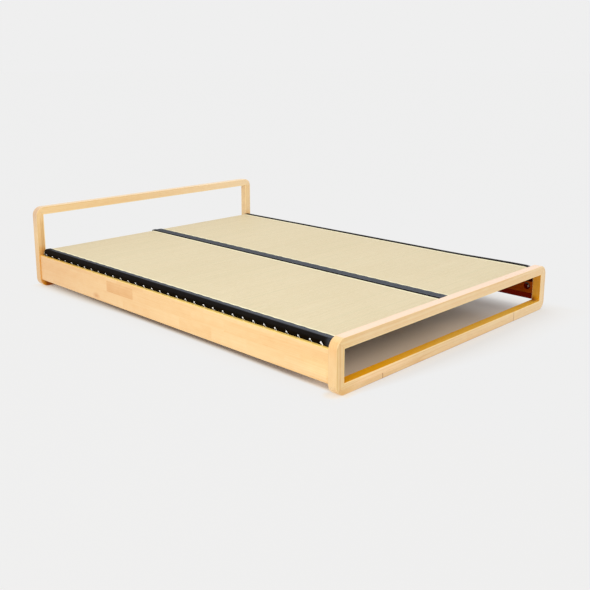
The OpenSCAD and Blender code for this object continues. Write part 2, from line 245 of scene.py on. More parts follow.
        # a pin knot low on the left board
        dist = g.vec("DISTANCE", g.vec("MULTIPLY", yz, (0.45, 1.0, 0.0)), (KNOT[0] * 0.45, KNOT[1], 0.0))
        left = g.math("LESS_THAN", side, 0.0)
        spot = g.math("MULTIPLY", g.span(dist, 0.003, 0.020, 1.0, 0.0, smooth=True), left)
        core = g.math("MULTIPLY", g.span(dist, 0.001, 0.007, 1.0, 0.0, smooth=True), left)
        col = g.mix(g.math("MULTIPLY", spot, 0.52), col, srgb(212, 140, 64))
        col = g.mix(g.math("MULTIPLY", core, 0.18), col, srgb(176, 104, 46))
    if knots:
        n = g.node("ShaderNodeTexVoronoi", feature="F1")
        g.put(n.inputs["Vector"], g.join(g.math("MULTIPLY", along, 2.6), g.math("MULTIPLY", c1, 8.0), g.math("MULTIPLY", c2, 8.0)))
        n.inputs["Scale"].default_value = 1.0
        kn = g.span(n.outputs["Distance"], 0.05, 0.13, 1.0, 0.0, smooth=True)
        col = g.mix(g.math("MULTIPLY", kn, knots), col, srgb(120, 76, 42))
    # where on the loop a point lies: across, back from the loop's front, up; and which loop
    px, py, pz = g.split(g.attr("place"))
    ax = g.math("ABSOLUTE", px)
    on_loop = g.attr("loop", "Fac")                                   # 0 elsewhere, 1 foot, 2 head
    head = g.math("GREATER_THAN", on_loop, 1.5)
    is_foot = g.math("COMPARE", on_loop, 1.0, 0.2)

    def both(*f):
        out = f[0]
        for q in f[1:]:
            out = g.math("MULTIPLY", out, q)
        return out
    # painted shade: the faces turned into the frame are a deeper amber than the outer ones
    if name != "maple_painted_shade":
        painted_shade = g.mix(1.0, col, PAINTED_SHADE_TINT, "MULTIPLY")
        k = g.attr("painted_shade", "Fac")
        if name == "maple":
            # painted shade on the head posts' faces that meet the rails' ends
            front = g.span(py, 0.0030, 0.0050, 1.0, 0.0)
            k = g.math("MAXIMUM", k, both(head, front, g.span(pz, 0.172, 0.182, 1.0, 0.55), g.span(pz, 0.205, 0.240, 1.0, 0.0)))
        col = g.mix(k, col, painted_shade)
    else:
        # painted shade: paler along the sill's left and duller on the post, and darker still in the corner behind the
        # sill and in under the rail's end
        pale_sill = both(is_foot, g.span(px, -0.50, -0.08, 0.0, 0.88), g.span(pz, 0.050, 0.054, 1.0, 0.0))
        col = g.mix(pale_sill, col, g.mix(1.0, col, (0.97, 1.20, 8.5, 1.0), "MULTIPLY"))
        dull_post = both(is_foot, g.span(pz, 0.054, 0.082))
        col = g.mix(dull_post, col, g.mix(1.0, col, (0.86, 0.89, 5.2, 1.0), "MULTIPLY"))
        nook = both(is_foot, g.span(ax, 0.700, 0.738), g.span(py, 0.010, 0.036), g.span(pz, 0.074, 0.052))
        nook = g.math("MAXIMUM", g.math("MULTIPLY", nook, 0.80), both(head, g.span(ax, 0.786, 0.752, 0.0, 0.85)))
        col = g.mix(nook, col, g.mix(1.0, col, (0.30, 0.06, 0.02, 1.0), "MULTIPLY"))
    if name == "maple":
        # a golden line of painted shade inside the outer arris of the front faces, and a painted cream highlight along
        # the opening
        arris_dist = g.attr("arris_dist")
        lip, rim, depth = g.split(arris_dist)
        face = both(g.span(depth, 0.0005, 0.0030, 1.0, 0.0), g.math("GREATER_THAN", on_loop, 0.5))
        col = g.mix(both(face, g.span(rim, 0.0015, 0.0080, 1.0, 0.0), g.attr("rimk", "Fac")), col, srgb(214, 170, 88))
        col = g.mix(both(face, g.span(lip, 0.0018, 0.0058, 0.92, 0.0)), col, srgb(255, 224, 154))
        # thin dark joints between the runner's pieces
        for at_x in (RUN_L - HW, HW - RUN_R):
            gap = g.math("ABSOLUTE", g.math("SUBTRACT", px, at_x * MM))
            up = g.span(pz, RUNNER_T * MM, RUNNER_T * MM + 0.0004, 0.50 if at_x < 0 else 0.36, 0.0 if at_x < 0 else 0.50)
            gap = both(is_foot, g.span(gap, 0.0010, 0.0038, 1.0, 0.0), up, g.math("LESS_THAN", pz, 0.060))
            col = g.mix(gap, col, srgb(150, 92, 44))
        # the near post's rounded side is warmer towards its top
        side = g.span(depth, 0.0008, 0.0036)
        warm = both(is_foot, g.math("LESS_THAN", px, 0.0), g.math("GREATER_THAN", ax, 0.735), side, g.span(pz, 0.125, 0.185))
        col = g.mix(warm, col, g.mix(1.0, col, (1.0, 0.90, 0.78, 1.0), "MULTIPLY"))
        # the head's left post: a browner band down its front, and a rosier corner
        band = both(head, g.span(px, -0.774, -0.768), g.span(px, -0.7565, -0.752, 1.0, 0.0), g.span(pz, 0.385, 0.350), g.math("SUBTRACT", 1.0, side))
        col = g.mix(g.math("MULTIPLY", band, 0.75), col, g.mix(1.0, col, (0.82, 0.74, 0.62, 1.0), "MULTIPLY"))
        rosy = both(head, g.span(px, -0.742, -0.766), side, g.span(pz, 0.30, 0.40))
        col = g.mix(rosy, col, g.mix(1.0, col, (0.82, 0.75, 0.84, 1.0), "MULTIPLY"))
        # the head's top bar pales towards the right
        far = both(head, g.span(px, -0.65, 0.2), g.math("GREATER_THAN", pz, 0.401))
        col = g.mix(far, col, g.mix(1.0, col, (1.02, 1.06, 1.20, 1.0), "MULTIPLY"))
        # painted shade: the runner's left corner by the floor is browner
        corner = both(is_foot, g.span(px, -0.69, -0.76), g.span(pz, 0.034, 0.018), g.span(py, 0.030, 0.016))
        col = g.mix(corner, col, g.mix(1.0, col, (0.93, 0.84, 0.66, 1.0), "MULTIPLY"))
        bright = both(is_foot, g.span(px, -0.30, -0.42), g.span(px, -0.72, -0.64), g.span(pz, 0.016, 0.024), g.math("LESS_THAN", pz, 0.060))
        col = g.mix(bright, col, g.mix(1.0, col, (1.12, 1.09, 1.12, 1.0), "MULTIPLY"))
        # painted shade along the runner's lower edge by the floor
        low_edge_shade = both(is_foot, g.span(px, -0.66, -0.50), g.span(pz, 0.009, 0.003))
        col = g.mix(low_edge_shade, col, g.mix(1.0, col, (0.94, 0.87, 0.72, 1.0), "MULTIPLY"))
        near = both(is_foot, g.span(px, -0.64, -0.76), g.math("SUBTRACT", 1.0, side))
        col = g.mix(near, col, g.mix(1.0, col, (1.0, 0.975, 0.84, 1.0), "MULTIPLY"))
    # arrises: a painted highlight makes them paler; smoother from sanding and handling
    painted_highlight = g.attr("painted_highlight", "Fac")
    if staves:
        # the rails' painted light on top: pale yellow near the foot, orange towards the head
        arris_highlight = g.mix(g.span(by, 0.35, 0.95), srgb(255, 216, 116), srgb(255, 198, 84))
    col = g.mix(g.math("MULTIPLY", painted_highlight, 0.30 if arris_highlight is None else 0.95 if staves else 0.72), col, arris_highlight or pale)
    # painted light on the top of a piece, paler and pinker
    col = g.mix(g.attr("painted_top_light", "Fac"), col, srgb(255, 219, 200))
    col = g.mix(g.attr("deep", "Fac"), col, g.mix(1.0, col, DEEP, "MULTIPLY"))
    r = g.math("ADD", g.math("MULTIPLY", fibre, 0.16), rough - 0.08)
    r = g.math("SUBTRACT", r, g.math("MULTIPLY", painted_highlight, 0.05))
    r = g.math("ADD", r, g.math("MULTIPLY", g.math("SUBTRACT", mottle, 0.5), 0.10))
    h = g.math("ADD", g.math("MULTIPLY", fibre, 0.6), g.math("MULTIPLY", fleck, -0.5))
    h = g.math("ADD", h, g.math("MULTIPLY", ring, 0.25))
    g.set(Base_Color=col, Roughness=r, Specular_IOR_Level=spec, Coat_Weight=coat, Coat_Roughness=0.24,
          Normal=g.bump(h, 0.00012, 0.6))
    return g.mat


def rush_material():
    """Woven rush: stalks laid across the mat, bound by warp threads that run along it."""
    g = Graph("woven_rush")
    u, v, w = g.split(g.attr("weave"))
    warp = 0.0148
    pitch = 0.0031
    # the warp wanders slightly, and the stalks are never quite straight
    wob = g.noise(g.join(g.math("MULTIPLY", u, 9.0), g.math("MULTIPLY", v, 5.0), w), 1.0, 2.0, 0.5)
    uu = g.math("ADD", u, g.math("MULTIPLY", g.math("SUBTRACT", wob, 0.5), 0.0035))
    wob2 = g.noise(g.join(g.math("MULTIPLY", u, 14.0), g.math("MULTIPLY", v, 3.0), 4.2), 1.0, 2.0, 0.5)
    vv = g.math("ADD", v, g.math("MULTIPLY", g.math("SUBTRACT", wob2, 0.5), 0.006))
    cu = g.math("DIVIDE", uu, warp)
    col_i = g.math("FLOOR", cu)
    half = g.math("MULTIPLY", g.math("MODULO", g.math("ABSOLUTE", col_i), 2.0), 0.5)
    cv = g.math("ADD", g.math("DIVIDE", vv, pitch), half)
    stalk = g.math("FLOOR", cv)
    fu = g.math("SUBTRACT", g.math("MULTIPLY", g.math("FRACT", cu), 2.0), 1.0)
    fv = g.math("SUBTRACT", g.math("MULTIPLY", g.math("FRACT", cv), 2.0), 1.0)
    crown = g.math("SUBTRACT", 1.0, g.math("POWER", g.math("ABSOLUTE", fu), 2.6))
    roll = g.math("SQRT", g.math("MAXIMUM", g.math("SUBTRACT", 1.0, g.math("POWER", g.math("ABSOLUTE", fv), 2.0)), 0.0))
    height = g.math("MULTIPLY", g.math("ADD", 0.35, g.math("MULTIPLY", crown, 0.65)), roll)
    # each stalk keeps its colour across several columns, and each visible float differs a little
    lot = g.white(g.join(g.math("FLOOR", g.math("DIVIDE", vv, pitch)), g.math("FLOOR", g.math("MULTIPLY", u, 3.1)), 1.0))
    own = g.white(g.join(col_i, stalk, 2.0))
    band = g.noise(g.join(g.math("MULTIPLY", u, 0.9), g.math("MULTIPLY", v, 11.0), 7.7), 1.0, 3.0, 0.6)
    patch = g.noise(g.join(g.math("MULTIPLY", u, 3.0), g.math("MULTIPLY", v, 2.2), 3.1), 1.0, 3.0, 0.5)
    f = g.math("ADD", g.math("MULTIPLY", lot, 0.30), g.math("MULTIPLY", own, 0.22))
    f = g.math("ADD", f, g.math("MULTIPLY", g.math("SUBTRACT", band, 0.5), 0.30))
    f = g.math("ADD", f, g.math("MULTIPLY", g.math("SUBTRACT", patch, 0.5), 0.35))
    col = g.mix(g.span(f, -0.05, 0.65), RUSH_PALE, RUSH_DARK)
    col = g.mix(g.span(g.noise(g.join(g.math("MULTIPLY", u, 30.0), g.math("MULTIPLY", v, 420.0), 1.7), 1.0, 2.0, 0.6), 0.60, 0.85, 0.0, 0.30), col, RUSH_TAN)
    # green hints left in some stalks
    col = g.mix(g.math("MULTIPLY", g.math("GREATER_THAN", lot, 0.86), 0.35), col, RUSH_GREEN)
    shade = g.span(height, 0.05, 0.55, 0.86, 1.0)
    # painted highlight: a pale line on the rush beside the borders
    col = g.mix(g.attr("painted_highlight", "Fac"), col, RUSH_HIGHLIGHT)
    n = g.node("ShaderNodeVectorMath", operation="SCALE")
    g.put(n.inputs[0], col)
    g.put(n.inputs["Scale"], shade)
    col = n.outputs[0]
    rough = g.math("ADD", 0.50, g.math("MULTIPLY", own, 0.14))
    normal = g.bump(height, 0.0007, 0.55)
    g.set(Base_Color=col, Roughness=rough, Specular_IOR_Level=0.35, Sheen_Weight=0.12, Sheen_Roughness=0.45,
          Sheen_Tint=(1.0, 0.96, 0.86, 1.0), Normal=normal)
    return g.mat


def cloth_material():
    """Dark cotton tape for the mats' borders: a fine plain weave with a dull sheen."""
    g = Graph("border_cloth")
    u, v, w = g.split(g.attr("weave"))
    p = 0.00072
    a = g.math("MULTIPLY", u, math.pi / p)
    b = g.math("MULTIPLY", v, math.pi / p)
    over = g.math("MULTIPLY", g.math("SINE", a), g.math("SINE", b))
    slub = g.noise(g.join(g.math("MULTIPLY", u, 1500.0), g.math("MULTIPLY", v, 90.0), 0.0), 1.0, 2.0, 0.6)
    slub2 = g.noise(g.join(g.math("MULTIPLY", u, 110.0), g.math("MULTIPLY", v, 1400.0), 5.0), 1.0, 2.0, 0.6)
    wear = g.noise(g.join(g.math("MULTIPLY", u, 60.0), g.math("MULTIPLY", v, 16.0), 2.0), 1.0, 3.0, 0.6)
    f = g.math("ADD", g.math("MULTIPLY", over, 0.22), g.math("MULTIPLY", slub, 0.5))
    f = g.math("ADD", f, g.math("MULTIPLY", slub2, 0.4))
    f = g.math("ADD", f, g.math("MULTIPLY", g.math("SUBTRACT", wear, 0.5), 0.6))
    col = g.mix(g.span(f, 0.15, 0.85), CLOTH_DARK, CLOTH_PALE)
    # painted sheen on the tape's top
    painted_sheen = g.mix(g.span(f, 0.15, 0.85), CLOTH_SHEEN_DARK, CLOTH_SHEEN_PALE)
    col = g.mix(g.attr("painted_highlight", "Fac"), col, painted_sheen)
    h = g.math("ADD", g.math("MULTIPLY", over, 0.5), g.math("MULTIPLY", g.math("ADD", slub, slub2), 0.4))
    soft = g.noise(g.join(g.math("MULTIPLY", u, 70.0), g.math("MULTIPLY", v, 34.0), 9.0), 1.0, 3.0, 0.5)
    n1 = g.bump(soft, 0.0022, 0.35)
    g.set(Base_Color=col, Roughness=g.math("ADD", 0.40, g.math("MULTIPLY", wear, 0.16)), Specular_IOR_Level=0.014,
          Specular_Tint=(0.90, 0.95, 1.0, 1.0),
          Normal=g.bump(h, 0.00018, 0.5, n1))
    return g.mat


def thread_material():
    g = Graph("thread")
    u, v, w = g.split(g.attr("weave"))
    ply = g.math("SINE", g.math("MULTIPLY", g.math("ADD", g.math("MULTIPLY", u, 2.0), g.math("MULTIPLY", v, 2600.0)), 1.0))
    fuzz = g.noise(g.join(g.math("MULTIPLY", u, 4.0), g.math("MULTIPLY", v, 900.0), w), 1.0, 3.0, 0.6)
    col = g.mix(g.span(g.math("ADD", g.math("MULTIPLY", ply, 0.25), fuzz), 0.1, 0.9), srgb(238, 236, 232), srgb(255, 255, 255))
    g.set(Base_Color=col, Roughness=g.math("ADD", 0.55, g.math("MULTIPLY", fuzz, 0.15)), Sheen_Weight=0.2, Specular_IOR_Level=0.4,
          Normal=g.bump(g.math("ADD", ply, fuzz), 0.00015, 0.6))
    return g.mat


def steel_material(name, low, high):
    g = Graph(name)
    o = g.node("ShaderNodeTexCoord").outputs["Object"]
    spangle = g.noise(o, 420.0, 3.0, 0.6)
    brush = g.noise(g.vec("MULTIPLY", o, (2600.0, 240.0, 2600.0)), 1.0, 2.0, 0.5)
    col = g.mix(spangle, low, high)
    g.set(Base_Color=col, Metallic=1.0, Roughness=g.math("ADD", 0.20, g.math("MULTIPLY", brush, 0.20)),
          Normal=g.bump(brush, 0.00003, 0.5))
    return g.mat


def board_material():
    g = Graph("mat_board")
    o = g.node("ShaderNodeTexCoord").outputs["Object"]
    chips = g.node("ShaderNodeTexVoronoi", feature="F1")
    g.put(chips.inputs["Vector"], g.vec("MULTIPLY", o, (260.0, 120.0, 300.0)))
    chips.inputs["Scale"].default_value = 1.0
    fine = g.noise(o, 900.0, 3.0, 0.6)
    cloud = g.noise(o, 6.0, 3.0, 0.5)
    f = g.math("ADD", g.math("MULTIPLY", g.split(chips.outputs["Color"])[0], 0.5), g.math("MULTIPLY", fine, 0.35))
    f = g.math("ADD", f, g.math("MULTIPLY", g.math("SUBTRACT", cloud, 0.5), 0.5))
    col = g.mix(g.span(f, 0.1, 0.9), srgb(150, 122, 84), srgb(206, 180, 138))
    g.set(Base_Color=col, Roughness=0.86, Specular_IOR_Level=0.2, Normal=g.bump(g.math("ADD", chips.outputs["Distance"], fine), 0.0005, 0.6))
    return g.mat


RUSH_PALE = srgb(223, 208, 172)
RUSH_DARK = srgb(212, 195, 155)
# colour of the rush's painted highlight beside the borders
RUSH_HIGHLIGHT = srgb(255, 247, 208)
RUSH_TAN = srgb(200, 178, 134)
RUSH_GREEN = srgb(206, 199, 160)
CLOTH_DARK = srgb(5, 3, 1)
CLOTH_PALE = srgb(26, 18, 9)
# colours of the painted sheen on the tapes' tops
CLOTH_SHEEN_DARK = srgb(68, 71, 78)
CLOTH_SHEEN_PALE = srgb(92, 96, 104)
DARK_STAVE = 1.0
# tint of the painted shade on faces turned into the frame
PAINTED_SHADE_TINT = (1.0, 0.66, 0.14, 1.0)
DEEP = (0.36, 0.12, 0.05, 1.0)
KNOT = (0.512, 0.0626)

M = {
    "maple": wood("maple", srgb(243, 211, 158), srgb(236, 194, 134), srgb(211, 154, 86), figure=1.0, arris_highlight=srgb(255, 230, 186)),
    "maple_rail": wood("maple_rail", srgb(247, 211, 153), srgb(241, 196, 132), srgb(222, 160, 86), staves=True, figure=0.5, arris_highlight=srgb(255, 204, 88)),
    # copies of the maple painted in shade: for the ledgers, for the rails' inner faces and the pockets, and for the
    # faces that look into the foot's opening
    "maple_inner": wood("maple_inner", srgb(176, 84, 6), srgb(152, 62, 2), srgb(112, 34, 0), rough=0.6, coat=0.0, spec=0.04),
    "maple_shade": wood("maple_shade", srgb(146, 34, 4), srgb(126, 20, 2), srgb(92, 8, 0), rough=0.6, coat=0.0, spec=0.03),
    "maple_painted_shade": wood("maple_painted_shade", srgb(255, 192, 34), srgb(248, 172, 14), srgb(226, 138, 4), rough=0.5, coat=0.0, spec=0.10),
    "softwood": wood("softwood", srgb(238, 218, 176), srgb(228, 200, 148), srgb(198, 152, 98), rough=0.62, coat=0.0, figure=1.7, knots=0.8),
    "dowel_wood": wood("dowel_wood", srgb(226, 196, 154), srgb(212, 176, 130), srgb(180, 138, 92), rough=0.6, coat=0.0),
    # steel darkened so that the washers in the pockets read as in shade, painted shade; the screws and bolts share it
    "zinc_steel": steel_material("zinc_steel", (0.10, 0.095, 0.09, 1), (0.22, 0.21, 0.20, 1)),
    # steel brightened for the nuts, a painted glint in the pockets
    "nut_steel": steel_material("nut_steel", (0.80, 0.78, 0.74, 1), (0.95, 0.94, 0.90, 1)),
    "mat_board": board_material(),
    "woven_rush": rush_material(),
    "border_cloth": cloth_material(),
    "thread": thread_material(),
}


# ---------------------------------------------------------------- mesh tools

def build(verts, faces):
    """A mesh from points in mm."""
    me = bpy.data.meshes.new("m")
    me.from_pydata([tuple(c * MM for c in v) for v in verts], [], faces)
    me.validate()
    return me


def orient(me):
    import bmesh
    bm = bmesh.new()
    bm.from_mesh(me)
    bmesh.ops.recalc_face_normals(bm, faces=bm.faces)
    bm.to_mesh(me)
    bm.free()


def point_attr(me, name, kind, data):
    a = me.attributes.get(name) or me.attributes.new(name, kind, "POINT")
    a.data.foreach_set("vector" if kind == "FLOAT_VECTOR" else "value", np.asarray(data, np.float32).ravel())


def coords(me):
    co = np.empty(len(me.vertices) * 3, np.float32)
    me.vertices.foreach_get("co", co)
    return co.reshape(-1, 3).astype(float)


def shade(me, angle=38.0):
    """Smooth shading weighted by face area, kept crisp above the angle."""
    nf = len(me.polygons)
    area = np.empty(nf)
    me.polygons.foreach_get("area", area)
    nrm = np.empty(nf * 3)
    me.polygons.foreach_get("normal", nrm)
    nrm = nrm.reshape(-1, 3)
    tot = np.empty(nf, int)
    me.polygons.foreach_get("loop_total", tot)
    face = np.repeat(np.arange(nf), tot)
    vert = np.empty(len(me.loops), int)
    me.loops.foreach_get("vertex_index", vert)
    order = np.argsort(vert, kind="stable")
    v, f = vert[order], face[order]
    start = np.searchsorted(v, v, "left")
    count = np.searchsorted(v, v, "right") - start
    pos = np.arange(len(v)) - start
    acc = np.zeros((len(v), 3))
    lim = math.cos(math.radians(angle))
    for k in range(int(count.max())):
        ok = k < count
        j = start + (pos + k) % np.maximum(count, 1)
        near = (nrm[f] * nrm[f[j]]).sum(1) > lim
        wgt = np.where(ok & near, area[f[j]], 0.0)
        acc += nrm[f[j]] * wgt[:, None]
    acc /= np.maximum(np.linalg.norm(acc, axis=1), 1e-12)[:, None]
    out = np.empty_like(acc)
    out[order] = acc
    me.polygons.foreach_set("use_smooth", np.ones(nf, bool))
    me.normals_split_custom_set(out.tolist())
    me.update()


def grain(me, axis, seed, tone=0.0, spread=0.12):
    """Gives a timber piece its own grain axes, place in the tree, and tone."""
    co = coords(me)
    r = np.random.default_rng(seed)
    i = "xyz".index(axis)
    a, b = [k for k in range(3) if k != i]
    mid = (co.max(0) + co.min(0)) / 2
    t = r.uniform(0.0, math.pi)
    ca, sa = math.cos(t), math.sin(t)
    x, y = co[:, a] - mid[a], co[:, b] - mid[b]
    c1 = ca * x - sa * y + r.uniform(0.05, 0.13)
    c2 = sa * x + ca * y + r.uniform(-0.03, 0.03)
    point_attr(me, "grain", "FLOAT_VECTOR", np.stack([co[:, i] + r.uniform(2, 40), c1, c2], 1))
    point_attr(me, "tone", "FLOAT", np.full(len(co), tone + r.uniform(-spread, spread)))
    if not me.attributes.get("painted_highlight"):
        point_attr(me, "painted_highlight", "FLOAT", np.zeros(len(co)))


def add(name, me, mat, body, nodes=()):
    ob = bpy.data.objects.new(name, me)
    scene.collection.objects.link(ob)
    me.name = name
    if not me.materials:
        me.materials.append(M[mat] if isinstance(mat, str) else mat)
    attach(ob, body)
    if nodes:
        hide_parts(*nodes)
    return ob


def inset(pts, dist):
    """Polygon moved inwards, each edge by its own distance."""
    n = len(pts)
    p = np.asarray(pts, float)
    d = np.roll(p, -1, 0) - p
    d /= np.linalg.norm(d, axis=1)[:, None]
    nn = np.stack([-d[:, 1], d[:, 0]], 1)
    out = np.empty_like(p)
    for i in range(n):
        j = i - 1
        p0, p1 = p[i] + nn[j] * dist[j], p[i] + nn[i] * dist[i]
        cr = d[j][0] * d[i][1] - d[j][1] * d[i][0]
        if abs(cr) < 1e-7:
            out[i] = p0
        else:
            t = ((p1 - p0)[0] * d[i][1] - (p1 - p0)[1] * d[i][0]) / cr
            out[i] = p0 + d[j] * t
    return out


PLACE = {"x": lambda u, v, w: (w, u, v), "y": lambda u, v, w: (u, w, v), "z": lambda u, v, w: (u, v, w)}


def slab(pts, rads, w0, w1, axis, steps=4):
    """Polygon drawn in the plane across the axis, given its depth along it, with the arris of each edge rounded to that edge's radius."""
    pts = [tuple(q) for q in pts]
    area = sum(a[0] * b[1] - b[0] * a[1] for a, b in zip(pts, pts[1:] + pts[:1]))
    if area < 0:
        pts = pts[::-1]
        rads = rads[::-1][1:] + rads[::-1][:1]
    rads = np.asarray(rads, float)
    rm = rads.max()
    rings = []
    for k in range(steps + 1):
        a = k / steps * math.pi / 2
        rings.append((inset(pts, rads * (1 - math.sin(a))), rm * (1 - math.cos(a)), k / steps))
    n = len(pts)
    verts, painted_highlight = [], []
    for ring, dep, e in rings:
        verts += [PLACE[axis](u, v, w0 + dep) for u, v in ring]
        painted_highlight += [e if 0 < e else 0.0] * n
    for ring, dep, e in rings[::-1]:
        verts += [PLACE[axis](u, v, w1 - dep) for u, v in ring]
        painted_highlight += [e if 0 < e else 0.0] * n
    faces = []
    m = 2 * (steps + 1)
    for k in range(m - 1):
        for i in range(n):
            j = (i + 1) % n
            faces.append((k * n + i, k * n + j, (k + 1) * n + j, (k + 1) * n + i))
    faces.append(tuple(range(n))[::-1])
    faces.append(tuple((m - 1) * n + i for i in range(n)))
    me = build(verts, faces)
    orient(me)
    # the arris's painted highlight is brightest half way round, and gone where the flat side begins
    point_attr(me, "painted_highlight", "FLOAT", np.sin(np.array(painted_highlight) * math.pi))
    return me


def arc(cx, cy, r, a0, a1, n):
    return [(cx + r * math.cos(math.radians(a0 + (a1 - a0) * k / n)), cy + r * math.sin(math.radians(a0 + (a1 - a0) * k / n))) for k in range(n + 1)]


def rounded(u0, u1, v0, v1, r, n=4):
    pts = arc(u1 - r, v1 - r, r, 0, 90, n) + arc(u0 + r, v1 - r, r, 90, 180, n)
    return pts + arc(u0 + r, v0 + r, r, 180, 270, n) + arc(u1 - r, v0 + r, r, 270, 360, n)


def long_piece(u0, u1, v0, v1, w0, w1, axis, r=2.0, end=0.6):
    """A planed stick: rounded long edges, slightly eased ends."""
    pts = rounded(u0, u1, v0, v1, r)
    return slab(pts, [end] * len(pts), w0, w1, axis, steps=2)


def cut(me, cutters, keep_inside=False):
    """Boolean difference of a mesh and each cutter mesh, in exact arithmetic."""
    tmp = bpy.data.objects.new("tmp_cut", me)
    scene.collection.objects.link(tmp)
    made = []
    for c in cutters:
        co = bpy.data.objects.new("tmp_tool", c)
        scene.collection.objects.link(co)
        made.append(co)
        m = tmp.modifiers.new("b", "BOOLEAN")
        m.operation = "INTERSECT" if keep_inside else "DIFFERENCE"
        m.solver = "EXACT"
        m.object = co
    dg = bpy.context.evaluated_depsgraph_get()
    dg.update()
    out = bpy.data.meshes.new_from_object(tmp.evaluated_get(dg), preserve_all_data_layers=True, depsgraph=dg)
    for o in made + [tmp]:
        data = o.data
        bpy.data.objects.remove(o)
        bpy.data.meshes.remove(data)
    out.materials.clear()
    return out


def lathe(profile, n=32):
    """Closed solid of revolution about Z from (radius, z) points; both ends on the axis."""
    verts, faces = [], []
    rows = []
    for r, z in profile:
        if r < 1e-6:
            rows.append([len(verts)])
            verts.append((0, 0, z))
        else:
            rows.append(list(range(len(verts), len(verts) + n)))
            verts += [(r * math.cos(2 * math.pi * k / n), r * math.sin(2 * math.pi * k / n), z) for k in range(n)]
    for a, b in zip(rows, rows[1:]):
        for k in range(n):
            j = (k + 1) % n
            if len(a) == 1:
                faces.append((a[0], b[k], b[j]))
            elif len(b) == 1:
                faces.append((a[k], a[j], b[0]))
            else:
                faces.append((a[k], a[j], b[j], b[k]))
    me = build(verts, faces)
    orient(me)
    return me


def placed(me, matrices):
    """One mesh holding a copy of me at each matrix, in metres."""
    co = coords(me)
    faces = [tuple(p.vertices) for p in me.polygons]
    verts, out = [], []
    for m in matrices:
        a = np.array(m)
        base = len(verts)
        flip = np.linalg.det(a[:3, :3]) < 0
        verts += [tuple(v) for v in co @ a[:3, :3].T + a[:3, 3]]
        out += [tuple(base + i for i in (f[::-1] if flip else f)) for f in faces]
    new = bpy.data.meshes.new("m")
    new.from_pydata(verts, [], out)
    new.update()
    return new


def at(x, y, z, rot=None):
    return Matrix.Translation((x * MM, y * MM, z * MM)) @ (rot.to_4x4() if rot is not None else Matrix.Identity(4))


# ---------------------------------------------------------------- loops

SEAM = 0.22
JOINT_R = 1.5


def on_mitre(s, h, tt, pw, top=True):
    """Where the rounded corner crosses the mitre, and that point's angle round the corner."""
    c = np.array([s * HW, h if top else 0.0])
    d = np.array([s * (HW - pw), h - tt if top else BOTTOM_T]) - c
    o = np.array([s * (HW - CORNER), h - CORNER if top else CORNER])
    f = c - o
    a, b, k = d @ d, 2 * f @ d, f @ f - CORNER ** 2
    t = (-b - math.sqrt(b * b - 4 * a * k)) / (2 * a)
    p = c + t * d
    return p, math.degrees(math.atan2(p[1] - o[1], p[0] - o[0]))


def strip(points, radii):
    """Drops points that repeat, keeping each edge's own radius."""
    pts, rad = [], []
    n = len(points)
    for i in range(n):
        a, b = np.asarray(points[i], float), np.asarray(points[(i + 1) % n], float)
        if np.linalg.norm(a - b) > 1e-4:
            pts.append(tuple(a))
            rad.append(radii[i])
    return pts, rad


